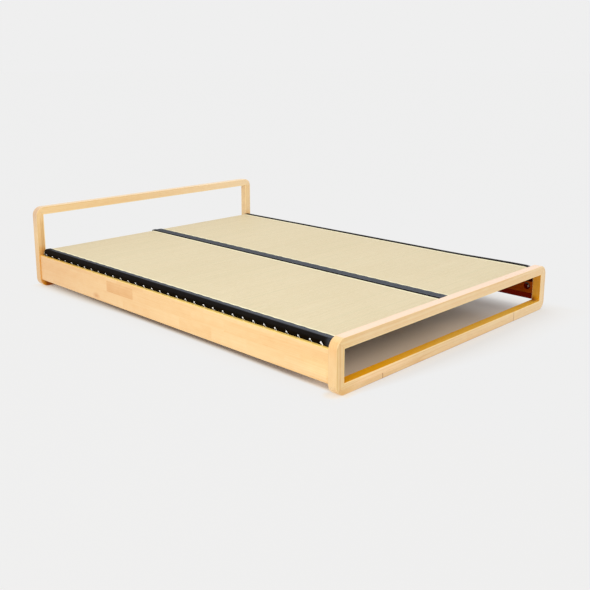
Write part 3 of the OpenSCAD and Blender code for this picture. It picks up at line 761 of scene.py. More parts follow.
def loop(which, tag, seeds, body="frame"):
    h, tt, pw, y0 = which["h"], which["tt"], which["pw"], which["y0"]
    y1 = y0 + LOOP_D
    ro, ri = 3.2, 1.7
    made = []

    def put(node, points, radii, axis, seed, tone):
        pts, rad = strip(points, radii)
        me = slab(pts, rad, y0, y1, "y", steps=5)
        co = coords(me) / MM
        deep = np.clip(np.minimum(co[:, 1] - y0, y1 - co[:, 1]) / ri, 0, 1)
        window = (np.abs(co[:, 0]) < HW - pw + 3.2) & (co[:, 2] > BOTTOM_T - 3.2) & (co[:, 2] < h - tt + 3.2)
        low = np.clip((250.0 - h) / 20.0, 0, 1) if node.endswith("post") else 1.0 if node.endswith("bottom_bar") else 0.6 * (h < 250)
        # painted shade on the foot top bar's faces inside the opening
        painted_shade = deep * window * 0.6 * (node.endswith("top_bar") and which is FOOT)
        # painted highlight: arrises round the opening are the pale ones
        painted_highlight = np.empty(len(co), np.float32)
        me.attributes["painted_highlight"].data.foreach_get("value", painted_highlight)
        point_attr(me, "painted_highlight", "FLOAT", painted_highlight * np.where(window, 1.0, 0.30))
        if "runner" in node or node.endswith("bottom_bar"):
            # thin dark joints between the runner's pieces, and along the layer above
            joint = np.maximum(np.clip(1 - np.abs(co[:, 0] - (RUN_L - HW)) / JOINT_R, 0, 1), np.clip(1 - np.abs(co[:, 0] - (HW - RUN_R)) / JOINT_R, 0, 1))
            joint = np.maximum(joint * (co[:, 2] < RUNNER_T), 0.35 * (np.abs(co[:, 2] - RUNNER_T) < 0.15))
            if which is HEAD:
                # painted shade: deep amber on the faces under the rails' ends
                hidden = (co[:, 1] < y0 + ri + 0.1) * 1.0
                painted_shade = np.maximum(painted_shade, 0.6 * hidden)
            point_attr(me, "deep", "FLOAT", joint)
        point_attr(me, "painted_shade", "FLOAT", painted_shade)
        point_attr(me, "loop", "FLOAT", np.full(len(co), 1.0 if which is FOOT else 2.0))
        point_attr(me, "place", "FLOAT_VECTOR", np.stack([co[:, 0], co[:, 1] - y0, co[:, 2]], 1) * MM)
        # distances from the opening and from the outside, and back from the nearer face
        if node.endswith("post"):
            lip, rim = np.abs(co[:, 0]) - (HW - pw), HW - np.abs(co[:, 0])
        elif node.endswith("top_bar"):
            lip, rim = co[:, 2] - (h - tt), h - co[:, 2]
        else:
            lip, rim = BOTTOM_T - co[:, 2], co[:, 2] + 9.0
        back = np.minimum(co[:, 1] - y0, y1 - co[:, 1])
        point_attr(me, "arris_dist", "FLOAT_VECTOR", np.stack([lip, rim, back], 1) * MM)
        left_end = np.clip(0.5 - co[:, 0] / HW / 2, 0, 1)
        point_attr(me, "rimk", "FLOAT", np.full(len(co), 0.55) if node.endswith("post") else 0.10 + 0.45 * left_end)
        # painted light on the foot top bar's top and on the foot posts' tops
        if node.endswith("top_bar") and which is FOOT:
            point_attr(me, "painted_top_light", "FLOAT", np.clip((co[:, 2] - h + 1.0) / 0.9, 0, 1) * 0.62)
        if node.endswith("post") and which is FOOT:
            point_attr(me, "painted_top_light", "FLOAT", np.clip((co[:, 2] - h + 14.0) / 12.0, 0, 1) * 0.45)
        grain(me, axis, seed, tone)
        if which is HEAD and node.endswith("left_post"):
            # painted shade: the post darkens towards its foot, and at its top comes near the top bar's tone
            point_attr(me, "tone", "FLOAT", np.interp(co[:, 2], [0.0, h], [tone + 0.24, -0.16]))
        shade(me)
        me.materials.append(M["maple"])
        if low > 0.9:
            # painted shade: the faces that look into the opening take the deeper-coloured maple
            me.materials.append(M["maple_painted_shade"])
            for f in me.polygons:
                c, n = f.center / MM, f.normal
                inward = n.z if node.endswith("bottom_bar") else -n.x * (1 if c.x > 0 else -1)
                if abs(c.x) < HW - pw + 3.2 and BOTTOM_T - 3.2 < c.z < h - tt + 3.2 and inward > 0.97:
                    f.material_index = 1
        if which is HEAD and ("runner" in node or node.endswith("bottom_bar")):
            # painted shade too on the face under the rails' ends
            if len(me.materials) < 2:
                me.materials.append(M["maple_painted_shade"])
            for f in me.polygons:
                if f.normal.y < -0.5:
                    f.material_index = 1
        made.append(add(node + "_shaped", me, None, body, [node]))

    def corner(s, top, a0, a1):
        return arc(s * (HW - CORNER), h - CORNER if top else CORNER, CORNER, a0, a1, 12)

    pr, ar = on_mitre(1, h, tt, pw)
    pl, al = on_mitre(-1, h, tt, pw)
    # top member
    a = corner(1, True, ar, 90.0)
    b = corner(-1, True, 90.0, al)
    pts = [(-HW + pw, h - tt), (HW - pw, h - tt)] + a + b
    rad = [ri, SEAM] + [ro] * (len(a) - 1) + [ro] + [ro] * (len(b) - 1) + [SEAM]
    put(tag + "_top_bar", pts, rad, "x", seeds[0], -0.06 if which is FOOT else -0.24)
    # posts
    for s, name in ((-1, "left"), (1, "right")):
        pt, at_ = on_mitre(s, h, tt, pw)
        pb, ab = on_mitre(s, h, tt, pw, top=False)
        mid = 0.0 if s > 0 else 180.0
        if s > 0:
            up = corner(1, False, ab, 0.0)
            dn = corner(1, True, 0.0, at_)
            pts = [(HW - pw, BOTTOM_T)] + up + dn + [(HW - pw, h - tt)]
            rad = [SEAM] + [ro] * (len(up) - 1) + [ro] + [ro] * (len(dn) - 1) + [SEAM, ri]
        else:
            up = corner(-1, True, at_, 180.0)
            dn = corner(-1, False, 180.0, ab if ab > 0 else ab + 360.0)
            pts = [(-HW + pw, h - tt)] + up + dn + [(-HW + pw, BOTTOM_T)]
            rad = [SEAM] + [ro] * (len(up) - 1) + [ro] + [ro] * (len(dn) - 1) + [SEAM, ri]
        put(tag + "_%s_post" % name, pts, rad, "z", seeds[1] + s, -0.10 if which is FOOT else 0.16 if s < 0 else -0.08)

    def mx(z):
        return HW - pw * z / BOTTOM_T

    # bottom member: an upper layer, and a runner of three pieces under it
    put(tag + "_bottom_bar", [(-mx(RUNNER_T), RUNNER_T), (mx(RUNNER_T), RUNNER_T), (HW - pw, BOTTOM_T), (-HW + pw, BOTTOM_T)],
        [SEAM, SEAM, ri, SEAM], "x", seeds[2], -0.16)
    for s, name, l in ((-1, "left", RUN_L), (1, "right", RUN_R)):
        pb, ab = on_mitre(s, h, tt, pw, top=False)
        if s > 0:
            c = corner(1, False, -90.0, ab)
            pts = [(HW - l, 0.0)] + c + [(mx(RUNNER_T), RUNNER_T), (HW - l, RUNNER_T)]
            rad = [ro] + [ro] * (len(c) - 1) + [SEAM, SEAM, JOINT_R]
        else:
            c = corner(-1, False, ab if ab > 0 else ab + 360.0, 270.0)
            pts = c + [(-HW + l, 0.0), (-HW + l, RUNNER_T), (-mx(RUNNER_T), RUNNER_T)]
            rad = [ro] * (len(c) - 1) + [ro, JOINT_R, SEAM, SEAM]
        put(tag + "_runner_" + name, pts, rad, "x", seeds[3] + s, -0.10)
    put(tag + "_runner_middle", [(-HW + RUN_L, 0.0), (HW - RUN_R, 0.0), (HW - RUN_R, RUNNER_T), (-HW + RUN_L, RUNNER_T)],
        [ro, JOINT_R, SEAM, JOINT_R], "x", seeds[4], -0.16)
    return made


loop(FOOT, "foot", (11, 21, 31, 41, 51))
loop(HEAD, "head", (12, 24, 33, 44, 55))


# ---------------------------------------------------------------- rails and ledgers

for s, name in ((-1, "left"), (1, "right")):
    x0, x1 = sorted((s * RAIL_X0, s * RAIL_X1))
    me = slab([(-INNER, RAIL_Z0), (INNER, RAIL_Z0), (INNER, RAIL_Z1), (-INNER, RAIL_Z1)], [2.2, 0.2, 2.2, 0.2], x0, x1, "x", steps=5)
    grain(me, "y", 60 + s, 0.0, 0.02)
    co = coords(me)
    point_attr(me, "board", "FLOAT_VECTOR", np.stack([co[:, 1], co[:, 2], np.full(len(co), float(s))], 1))
    # painted light on the top and its arrises, golden, where the mats' sides shade it; the lower arrises keep little
    painted_highlight = np.empty(len(co), np.float32)
    me.attributes["painted_highlight"].data.foreach_get("value", painted_highlight)
    z = co[:, 2] / MM
    point_attr(me, "painted_highlight", "FLOAT", np.where(z > 100.0, np.maximum(painted_highlight, np.clip((z - RAIL_Z1 + 1.6) / 1.0, 0, 1)), painted_highlight * 0.2))
    shade(me)
    me.materials.append(M["maple_rail"])
    # the rails' inner faces take the maple painted in deep shade
    me.materials.append(M["maple_shade"])
    for f in me.polygons:
        if abs(f.center.x) < (RAIL_X1 + 1.2) * MM:
            f.material_index = 1
    add("side_rail_%s_shaped" % name, me, None, "frame", ["side_rail_" + name])

    x0, x1 = sorted((s * RAIL_X1, s * LEDGER_X))
    me = slab([(-INNER, LEDGER_Z0), (INNER, LEDGER_Z0), (INNER, LEDGER_Z1), (-INNER, LEDGER_Z1)], [1.6, 0.2, 1.6, 0.2], x0, x1, "x", steps=3)
    tools = []
    for g in (-1, 1):
        # the pocket, flared by a small chamfer at its mouth
        t = lathe([(0, -22), (POCKET_D / 2, -22), (POCKET_D / 2, -1.0), (POCKET_D / 2 + 1.6, 0.6), (POCKET_D / 2 + 1.6, 3), (0, 3)], 72)
        t.transform(Matrix.Translation((s * LEDGER_X * MM, g * POCKET_Y * MM, BOLT_Z * MM)) @ Matrix.Rotation(-s * math.pi / 2, 4, "Y"))
        orient(t)
        tools.append(t)
        t = lathe([(0, -3), (4.5, -3), (4.5, 20), (0, 20)], 24)
        t.transform(Matrix.Translation((s * BOLT_X * MM, g * INNER * MM, BOLT_Z * MM)) @ Matrix.Rotation(g * math.pi / 2, 4, "X"))
        orient(t)
        tools.append(t)
    for i in range(8):
        y = -INNER + 120 + i * (2 * INNER - 240) / 7
        t = lathe([(0, -6), (2.2, -6), (2.2, -2.9), (4.6, 0.0), (4.6, 2), (0, 2)], 24)
        t.transform(Matrix.Translation((s * LEDGER_X * MM, y * MM, 99 * MM)) @ Matrix.Rotation(-s * math.pi / 2, 4, "Y"))
        orient(t)
        tools.append(t)
    me = cut(me, tools)
    grain(me, "y", 70 + s, 0.0)
    shade(me)
    # the ledger takes the maple painted in shade, and its pockets the deeper painted shade
    me.materials.append(M["maple_inner"])
    me.materials.append(M["maple_shade"])
    for f in me.polygons:
        c = f.center / MM
        if abs(c.x) > LEDGER_X + 0.8 and math.hypot(abs(c.y) - POCKET_Y, c.z - BOLT_Z) < POCKET_D / 2 + 0.5:
            f.material_index = 1
    add("ledger_%s_shaped" % name, me, None, "frame", ["ledger_" + name])


# ---------------------------------------------------------------- slats, beam, legs

def countersinks(y, xs):
    out = []
    for x in xs:
        t = lathe([(0, -6), (2.2, -6), (2.2, -2.9), (4.6, 0.0), (4.6, 2), (0, 2)], 24)
        t.transform(Matrix.Translation((x * MM, y * MM, SLAT_Z1 * MM)))
        out.append(t)
    return out


slat_screw_at = []
for i, y in enumerate(SLAT_Y):
    me = long_piece(y - SLAT_W / 2, y + SLAT_W / 2, SLAT_Z0, SLAT_Z1, -764.0, 764.0, "x", 2.4, 0.8)
    xs = [-BOLT_X, BOLT_X] + ([0.0] if abs(y) < BEAM_L / 2 - 15 else [])
    slat_screw_at += [(x, y) for x in xs]
    me = cut(me, countersinks(y, xs))
    grain(me, "x", 100 + i, 0.0, 0.22)
    shade(me)
    add("slat_%02d_shaped" % (i + 1), me, "softwood", "frame", ["slat_%02d" % (i + 1)])

me = long_piece(-BEAM_W / 2, BEAM_W / 2, BEAM_Z0, SLAT_Z0, -BEAM_L / 2, BEAM_L / 2, "y", 2.6, 0.9)
grain(me, "y", 130)
shade(me)
add("centre_beam_shaped", me, "softwood", "frame", ["centre_beam"])
for y, name in zip(LEG_Y, ("foot", "middle", "head")):
    me = long_piece(-22.0, 22.0, y - 22.0, y + 22.0, 0.0, BEAM_Z0, "z", 2.6, 1.2)
    grain(me, "z", 1000 + int(y))
    shade(me)
    add("centre_leg_%s_shaped" % name, me, "softwood", "frame", ["centre_leg_" + name])


# ---------------------------------------------------------------- hardware

def wood_screw():
    """Countersunk screw with a cross recess, head up, point down."""
    body = lathe([(0, -0.35), (3.75, -0.35), (3.95, -0.55), (2.0, -3.1), (1.9, -24), (0.3, -31.5), (0, -31.8)], 28)
    tools = []
    for a in (0, math.pi / 2):
        v = [(-2.2, -0.55, 0.3), (2.2, -0.55, 0.3), (2.2, 0.55, 0.3), (-2.2, 0.55, 0.3), (-0.5, -0.4, -2.3), (0.5, -0.4, -2.3), (0.5, 0.4, -2.3), (-0.5, 0.4, -2.3)]
        f = [(0, 1, 2, 3), (7, 6, 5, 4), (0, 4, 5, 1), (1, 5, 6, 2), (2, 6, 7, 3), (3, 7, 4, 0)]
        t = build(v, f)
        t.transform(Matrix.Rotation(a, 4, "Z"))
        orient(t)
        tools.append(t)
    return cut(body, tools)


screw = wood_screw()
turn = np.random.default_rng(5)
mats = []
for s in (-1, 1):
    for i in range(8):
        y = -INNER + 120 + i * (2 * INNER - 240) / 7
        spin = Matrix.Rotation(turn.uniform(0, math.pi), 4, "Z")
        mats.append(at(s * LEDGER_X, y, 99) @ Matrix.Rotation(-s * math.pi / 2, 4, "Y") @ spin)
me = placed(screw, mats)
shade(me)
add("ledger_screws_shaped", me, "zinc_steel", "frame", ["ledger_screws"])
mats = [at(x, y, SLAT_Z1) @ Matrix.Rotation(turn.uniform(0, math.pi), 4, "Z") for x, y in slat_screw_at]
me = placed(screw, mats)
shade(me)
add("slat_screws_shaped", me, "zinc_steel", "frame", ["slat_screws"])


def threaded(r, pitch, length, plain, n=24, per=6):
    """Rod along Z from 0: a plain length, then a real helical thread to a chamfered end."""
    rows = int(length / pitch * per)
    verts, faces = [], []
    zs = [0.0, plain] + [plain + pitch / per * (k + 1) for k in range(rows)]
    for z in zs:
        for k in range(n):
            a = 2 * math.pi * k / n
            if z <= plain:
                rr = r - 0.35
            else:
                ph = (z / pitch - k / n) % 1.0
                tooth = max(0.0, 1 - abs(ph - 0.5) * 2.4)
                rr = r - 0.75 + 0.75 * min(1.0, tooth * 1.15)
                rr = min(rr, r - 1.1 + max(0.0, (plain + length - z)) * 0.9)
            verts.append((rr * math.cos(a), rr * math.sin(a), z))
    for j in range(len(zs) - 1):
        for k in range(n):
            m = (k + 1) % n
            faces.append((j * n + k, j * n + m, (j + 1) * n + m, (j + 1) * n + k))
    faces.append(tuple(range(n))[::-1])
    faces.append(tuple((len(zs) - 1) * n + k for k in range(n)))
    me = build(verts, faces)
    orient(me)
    return me


rod = threaded(4.0, 1.25, 34.0, 30.0)
ends = [(s, g) for s in (-1, 1) for g in (-1, 1)]
me = placed(rod, [at(s * BOLT_X, g * (INNER + 35), BOLT_Z) @ Matrix.Rotation(g * math.pi / 2, 4, "X") for s, g in ends])
shade(me, 50)
add("hanger_bolts_shaped", me, "zinc_steel", "frame", ["hanger_bolts"])

# half-moon washer: flat towards the nut, round against the pocket's wall
R = POCKET_D / 2 - 0.1
half = math.degrees(math.acos(9.9 / R))
pts = arc(0, 0, R, 90 - half, 90 + half, 28)
washer = slab(pts, [0.7] * len(pts), -7.0, 7.0, "x", steps=3)
hole = lathe([(0, 0), (4.3, 0), (4.3, 30), (0, 30)], 32)
hole.transform(Matrix.Rotation(-math.pi / 2, 4, "X"))
orient(hole)
washer = cut(washer, [hole])
me = placed(washer, [at(s * BOLT_X, g * POCKET_Y, BOLT_Z) @ Matrix.Diagonal((1, g, 1, 1)) for s, g in ends])
shade(me)
add("half_moon_washers_shaped", me, "zinc_steel", "frame", ["half_moon_washers"])

# hexagon nut with both faces chamfered and a chamfered bore
hexa = [(7.5 * math.cos(math.radians(60 * k)), 7.5 * math.sin(math.radians(60 * k))) for k in range(6)]
nut = slab(hexa, [0.02] * 6, 0.0, 6.4, "z", steps=1)
cone = lathe([(0, 0), (6.3, 0), (7.6, 0.75), (7.6, 5.65), (6.3, 6.4), (0, 6.4)], 48)
nut = cut(nut, [cone], keep_inside=True)
bore = lathe([(0, -1), (5.0, -1), (3.9, 0.6), (3.9, 5.8), (5.0, 7.4), (0, 7.4)], 32)
nut = cut(nut, [bore])
me = placed(nut, [at(s * BOLT_X, g * (POCKET_Y + 3.5), BOLT_Z) @ Matrix.Rotation(-g * math.pi / 2, 4, "X") for s, g in ends])
shade(me, 30)
add("hex_nuts_shaped", me, "nut_steel", "frame", ["hex_nuts"])

# pieces wholly inside the timber keep their own solids
for n in ("mitre_tongues", "rail_dowels", "leg_dowels"):
    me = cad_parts[n].data
    me.materials.clear()
    me.materials.append(M["dowel_wood"])


# ---------------------------------------------------------------- mats

def fnoise(x, y, seed, terms=9, lo=0.6, hi=6.0):
    """Smooth seeded ripple from a few waves, about -1 to 1; x and y in metres."""
    r = np.random.default_rng(seed)
    z = np.zeros_like(x)
    for k in range(terms):
        f = math.exp(r.uniform(math.log(lo), math.log(hi)))
        a = r.uniform(0, 2 * math.pi)
        z += np.sin(2 * math.pi * f * (x * math.cos(a) + y * math.sin(a)) + r.uniform(0, 6.28)) / f ** 0.5
    return z / (terms ** 0.5)


def closed_sheet(outer, thick):
    """Closed thin shell from a grid of points (rows, columns, 3), thickened inwards."""
    nu, nv, _ = outer.shape
    du = np.gradient(outer, axis=0)
    dv = np.gradient(outer, axis=1)
    nn = np.cross(du, dv)
    nn /= np.maximum(np.linalg.norm(nn, axis=2), 1e-9)[:, :, None]
    inner = outer - nn * thick
    verts = np.concatenate([outer.reshape(-1, 3), inner.reshape(-1, 3)])
    idx = np.arange(nu * nv).reshape(nu, nv)
    k = nu * nv
    faces = []
    for i in range(nu - 1):
        for j in range(nv - 1):
            a, b, c, d = idx[i, j], idx[i + 1, j], idx[i + 1, j + 1], idx[i, j + 1]
            faces.append((a, b, c, d))
            faces.append((d + k, c + k, b + k, a + k))
    for i in range(nu - 1):
        faces.append((idx[i + 1, 0], idx[i, 0], idx[i, 0] + k, idx[i + 1, 0] + k))
        faces.append((idx[i, nv - 1], idx[i + 1, nv - 1], idx[i + 1, nv - 1] + k, idx[i, nv - 1] + k))
    for j in range(nv - 1):
        faces.append((idx[0, j], idx[0, j + 1], idx[0, j + 1] + k, idx[0, j] + k))
        faces.append((idx[nu - 1, j + 1], idx[nu - 1, j], idx[nu - 1, j] + k, idx[nu - 1, j + 1] + k))
    return verts, [tuple(int(q) for q in f) for f in faces]


def rush_path():
    """The rush's line in Y and Z: up the foot end, along the top, down the head end."""
    rf, rh = 9.0, 17.0
    z1 = MAT_Z1 - 0.4
    pts = [(MAT_Y0, z) for z in np.linspace(MAT_Z0 + 1.6, z1 - rf, 5)]
    pts += [(MAT_Y0 + rf - rf * math.cos(a), z1 - rf + rf * math.sin(a)) for a in np.linspace(0, math.pi / 2, 9)[1:]]
    pts += [(y, z1) for y in np.linspace(MAT_Y0 + rf, MAT_Y1 - rh, 150)[1:-1]]
    pts += [(MAT_Y1 - rh + rh * math.sin(a), z1 - rh + rh * math.cos(a)) for a in np.linspace(0, math.pi / 2, 11)]
    pts += [(MAT_Y1, z) for z in np.linspace(z1 - rh, MAT_Z0 + 1.6, 5)[1:]]
    return np.array(pts)


def edge_rise(s, y):
    """The right mat's outer edge stands a little proud near the foot, mm."""
    if s < 0:
        return np.zeros_like(y)
    t = np.clip((-560.0 - y) / 430.0, 0, 1)
    return 6.2 * t * t * (3 - 2 * t) * np.clip((y - MAT_Y0 + 6.0) / 34.0, 0.35, 1)


def border_skin(s, outer):
    """Border tape round one long side of a mat and folded over both ends.
    A rounded box with its inner side open, wrapped on a fine grid."""
    x_side = MAT_X1 if outer else MAT_X0          # the plane that the tape's side lies in
    k = 1.0 if outer else -1.0                    # outwards along X from the mat
    w = BORDER_W if outer else BORDER_IN_W
    top = MAT_Z1 + 0.55
    bot = MAT_Z0 + 0.15
    # distances from the side plane inwards, along the tape's width
    cut_w = BORDER_W - w
    dx = np.array([0, 1.2, 2.6, 4.2, 6.0, 8.2, 10.5, 13.5, 17, 20 - cut_w * 0.5, 24 - cut_w * 0.8, 26.6 - cut_w, 28.5 - cut_w, 30.6 - cut_w, 32.6 - cut_w, 34.0 - cut_w, 35.2 - cut_w, w])
    n_len = 2 * (STITCH_N - 1) * 4 + 1
    ys_mid = np.linspace(MAT_Y0 + 17, MAT_Y1 - 17, n_len)
    near = (0, 1.0, 2.2, 3.8, 6.0, 8.5, 11.3, 14.2)
    ys = np.concatenate([[MAT_Y0 + q for q in near], ys_mid, [MAT_Y1 - q for q in near[::-1]]])
    zs = np.array([bot, bot + 0.8, bot + 1.8, bot + 3.0, bot + 8, 170, 176, 181, 185, 188, 191, 194, 197, top - 10, top - 7.5, top - 5.5, top - 3.8, top - 2.4, top - 1.1, top])
    verts, key = [], {}
    uvs = []

    def vid(i, j, m):
        if (i, j, m) not in key:
            key[(i, j, m)] = len(verts)
            d, y, z = dx[i], ys[j], zs[m]
            verts.append((d, y, z))
            # lengthwise and crosswise position on the tape, unfolded
            uvs.append((d + (top - z), y))
        return key[(i, j, m)]

    nx, ny, nz = len(dx), len(ys), len(zs)
    under = int(np.searchsorted(dx, 28.6 - cut_w))
    faces = []
    for j in range(ny - 1):
        for i in range(nx - 1):                                    # top
            faces.append((vid(i, j, nz - 1), vid(i + 1, j, nz - 1), vid(i + 1, j + 1, nz - 1), vid(i, j + 1, nz - 1)))
        for m in range(nz - 1):                                    # side
            faces.append((vid(0, j, m), vid(0, j, m + 1), vid(0, j + 1, m + 1), vid(0, j + 1, m)))
        for i in range(under):                                     # turned under
            faces.append((vid(i, j, 0), vid(i, j + 1, 0), vid(i + 1, j + 1, 0), vid(i + 1, j, 0)))
    for j in (0, ny - 1):                                          # folded down over the ends
        for i in range(nx - 1):
            for m in range(nz - 1):
                f = (vid(i, j, m), vid(i + 1, j, m), vid(i + 1, j, m + 1), vid(i, j, m + 1))
                faces.append(f if j == 0 else f[::-1])
    v = np.array(verts)
    d, y, z = v[:, 0], v[:, 1], v[:, 2]
    # rounding: tight at the bottom, generous at the top outer edge and the ends
    up = np.clip((z - bot) / (top - bot), 0, 1)
    r = 3.0 + (9.0 if outer else 2.0) * np.clip(up * 1.6 - 0.3, 0, 1)
    long = np.where(y < 0, 0.8, 1.3)                              # the head end falls away more gently
    qd = np.maximum(d, r)
    qy = np.clip(y, MAT_Y0 - 0.7 + r * long, MAT_Y1 + 0.7 - r * long)
    yy = np.where(y < 0, y - 0.7, y + 0.7)
    yy = np.clip(yy, MAT_Y0 - 0.7, MAT_Y1 + 0.7)
    yy = np.where((y > MAT_Y0 + 0.1) & (y < MAT_Y1 - 0.1), y, yy)
    qz = np.clip(z, bot + r, top - r)
    p = np.stack([d, yy, z], 1)
    q = np.stack([qd, qy, qz], 1)
    dirn = p - q
    dirn[:, 1] /= long
    dirn /= np.maximum(np.linalg.norm(dirn, axis=1), 1e-9)[:, None]
    reach = dirn * r[:, None]
    reach[:, 1] *= long
    out = q + reach
    nrm = dirn.copy()
    nrm[:, 1] /= long
    nrm /= np.maximum(np.linalg.norm(nrm, axis=1), 1e-9)[:, None]
    # the tape's slack: soft undulation, and a pull at every stitch
    seed = 300 + int(s * 10) + int(outer)
    wave = fnoise(y * MM, (d + z) * MM, seed, 10, 3.0, 22.0) * 0.30
    side = np.clip((6.0 - d) / 6.0, 0, 1) * np.clip((z - 160) / 12, 0, 1) * np.clip((208 - z) / 8, 0, 1)
    pull = np.zeros(len(v))
    for sy in STITCH_Y:
        pull += np.exp(-(((y - sy + 4) / 9.0) ** 2 + ((z - 184.0) / 9.0) ** 2))
        pull -= 0.35 * np.exp(-(((y - sy - 31) / 17.0) ** 2 + ((z - 188.0) / 12.0) ** 2))
    disp = wave * 0.6 - side * pull * 0.9
    on_top = np.clip((z - (top - 1.5)) / 1.5, 0, 1) * np.clip((d - 9) / 4, 0, 1)
    top_face = np.clip((z - (top - 1.5)) / 1.5, 0, 1)
    crown = np.clip((d - 1.0) / (13.0 if outer else 5.0), 0, 1)
    near_inner = s < 0 and not outer
    crown = crown * crown * (3 - 2 * crown) * (2.4 if outer else 3.6 if near_inner else 1.5)    # padding under the tape
    hem = top_face * (crown - np.clip((d + cut_w - 24.0) / 11.0, 0, 1) * 0.7 + np.clip((d + cut_w - 29.5) / 2.5, 0, 1) * 0.6)
    ripple = on_top * fnoise(y * MM, d * MM, seed + 50, 8, 8.0, 30.0) * 0.12
    out = out + nrm * disp[:, None]
    out[:, 2] += hem + ripple
    # the free edge on top turns down on to the rush, pulled in by its hidden seam
    out[:, 2] -= on_top * np.clip((d + cut_w - 35.2) / 0.8, 0, 1) * (5.4 if near_inner else 3.4)
    beat = np.cos(2 * math.pi * (y - STITCH_Y[0]) / PITCH)
    beat = 0.75 * beat + 0.25 * fnoise(y * MM, d * 0, seed + 9, 6, 5.0, 16.0)
    free = on_top * np.clip((d + cut_w - 30.0) / 5.0, 0, 1)
    out[:, 2] += edge_rise(s, y) * (1.0 - np.clip(d / 300.0, 0, 1)) * np.clip((z - 185.0) / 20.0, 0, 1) * (1.0 if outer else 0.0)
    out[:, 0] += free * beat * 0.9
    out[:, 2] += free * beat * (0.7 if near_inner else 0.35)
    out[:, 2] = np.maximum(out[:, 2], MAT_Z0 + 0.02)
    X = s * (x_side - k * out[:, 0])
    world = np.stack([X, out[:, 1], out[:, 2]], 1)
    me = build([tuple(c) for c in world], faces)
    orient_open(me, world, s, x_side, k)
    uvs = np.array(uvs) * MM
    point_attr(me, "weave", "FLOAT_VECTOR", np.stack([uvs[:, 0], uvs[:, 1], np.full(len(v), float(outer))], 1))
    # painted sheen: the flat of the tape is painted lighter where light catches it, its turned edges are not; it fades
    # towards the head, is left off the right mat's outer tape, and the upper side gets a trace
    t = np.clip((d - 6.5 - 4.5 * np.clip((y + 700.0) / 900.0, 0, 1)) / 8.0, 0, 1) if outer else np.clip(d / 2.0 + 0.6, 0, 1)
    # painted shade: a scalloped lip left dark, without painted sheen, along the near inner tape's free edge
    dark_lip = 3.8 + 2.6 * np.cos(4 * math.pi * (y - STITCH_Y[0]) / PITCH) if near_inner else 1.2
    t = t * np.clip((w - dark_lip - d) / 2.4, 0, 1) * np.clip((z - (top - 1.0)) / 1.0, 0, 1)
    t = t * (1.0 - 0.22 * np.clip((y + 200.0) / 1200.0, 0, 1)) * (1.0 - 0.75 * np.clip((y - 980.0) / 60.0, 0, 1) * outer)
    t = t * t * (3 - 2 * t) * (0.0 if outer and s > 0 else 1.0)
    # painted light on the outer tape near the foot end, on its top and its side
    t = t * (1.0 + 0.35 * np.clip((-960.0 - y) / 90.0, 0, 1) * outer)
    t = np.maximum(t, 0.42 * outer * np.clip((-1022.0 - y) / 18.0, 0, 1) * np.clip((z - 176.0) / 6.0, 0, 1))
    point_attr(me, "painted_highlight", "FLOAT", np.maximum(t, 0.05 * np.clip((z - 192.0) / 8.0, 0, 1)))
    return me


def orient_open(me, world, s, x_side, k):
    """Turns the faces of an open skin to look away from the middle of its tape."""
    import bmesh
    bm = bmesh.new()
    bm.from_mesh(me)
    mid_x = s * (x_side - k * 18.0) * MM
    votes = 0.0
    for f in bm.faces:
        c = f.calc_center_median()
        ref = Vector((c.x - mid_x, 0.0, c.z - 182 * MM))
        votes += f.normal.dot(ref)
    if votes < 0:
        bmesh.ops.reverse_faces(bm, faces=bm.faces)
    bm.to_mesh(me)
    bm.free()


def solid_skin(me, thick):
    """Gives an open skin its thickness, inwards, as a closed mesh."""
    tmp = bpy.data.objects.new("tmp_skin", me)
    scene.collection.objects.link(tmp)
    m = tmp.modifiers.new("t", "SOLIDIFY")
    m.thickness = thick * MM
    m.offset = -1.0
    m.use_even_offset = False
    m.use_rim = True
    dg = bpy.context.evaluated_depsgraph_get()
    dg.update()
    out = bpy.data.meshes.new_from_object(tmp.evaluated_get(dg), preserve_all_data_layers=True, depsgraph=dg)
    bpy.data.objects.remove(tmp)
    bpy.data.meshes.remove(me)
    return out


def catmull(points, per):
    p = np.array([points[0]] + list(points) + [points[-1]], float)
    out = []
    for i in range(1, len(p) - 2):
        for t in np.linspace(0, 1, per, endpoint=False):
            a, b, c, d = p[i - 1], p[i], p[i + 1], p[i + 2]
            out.append(0.5 * (2 * b + (c - a) * t + (2 * a - 5 * b + 4 * c - d) * t * t + (3 * b - 3 * c + d - a) * t ** 3))
    out.append(p[-2])
    return np.array(out)


def stitch_points(flat, jit, first):
    """One stitch in (out, along, up, radius): up from the rail's side to a fat loop, then slanting down towards the foot."""
    k = 0.34 if flat else 1.0
    pts = [(-0.9, 5.8, 175.6, 0.3), (0.6 * k, 4.8, 178.2, 0.42), (0.7 * k, 3.4, 181.6, 0.45), (1.0 * k, 2.0, 184.6, 0.7),
           (2.2 * k, 1.0, 186.6, 2.2), (2.7 * k, -0.1, 187.4, 2.95), (2.3 * k, -1.5, 186.6, 2.5), (1.2 * k, -3.2, 184.0, 1.15),
           (0.8 * k, -5.2, 181.8, 0.85), (0.7 * k, -7.4, 179.6, 0.8), (0.6 * k, -9.2, 177.6, 0.75), (-0.9, -10.4, 175.8, 0.35)]
    if first:
        # the thread starts in a knot
        pts = [(o, a + 1.0, z + 0.8, r * (1.45 if r > 1.7 else 1.45)) for o, a, z, r in pts]
        pts[7] = (2.4 * k, -4.4, 184.6, 2.7)
        pts[8] = (2.4 * k, -7.0, 182.0, 2.9)
        pts[9] = (1.4 * k, -8.6, 178.6, 1.8)
    out = []
    for i, (o, a, z, r) in enumerate(pts):
        low = i in (0, 1, 2) or i > 8
        out.append((o, a + jit[0] * low * 0.9 + jit[1] * 0.5, z + jit[2] * 0.5, r * (1 + 0.07 * jit[3])))
    return catmull(out, 3)


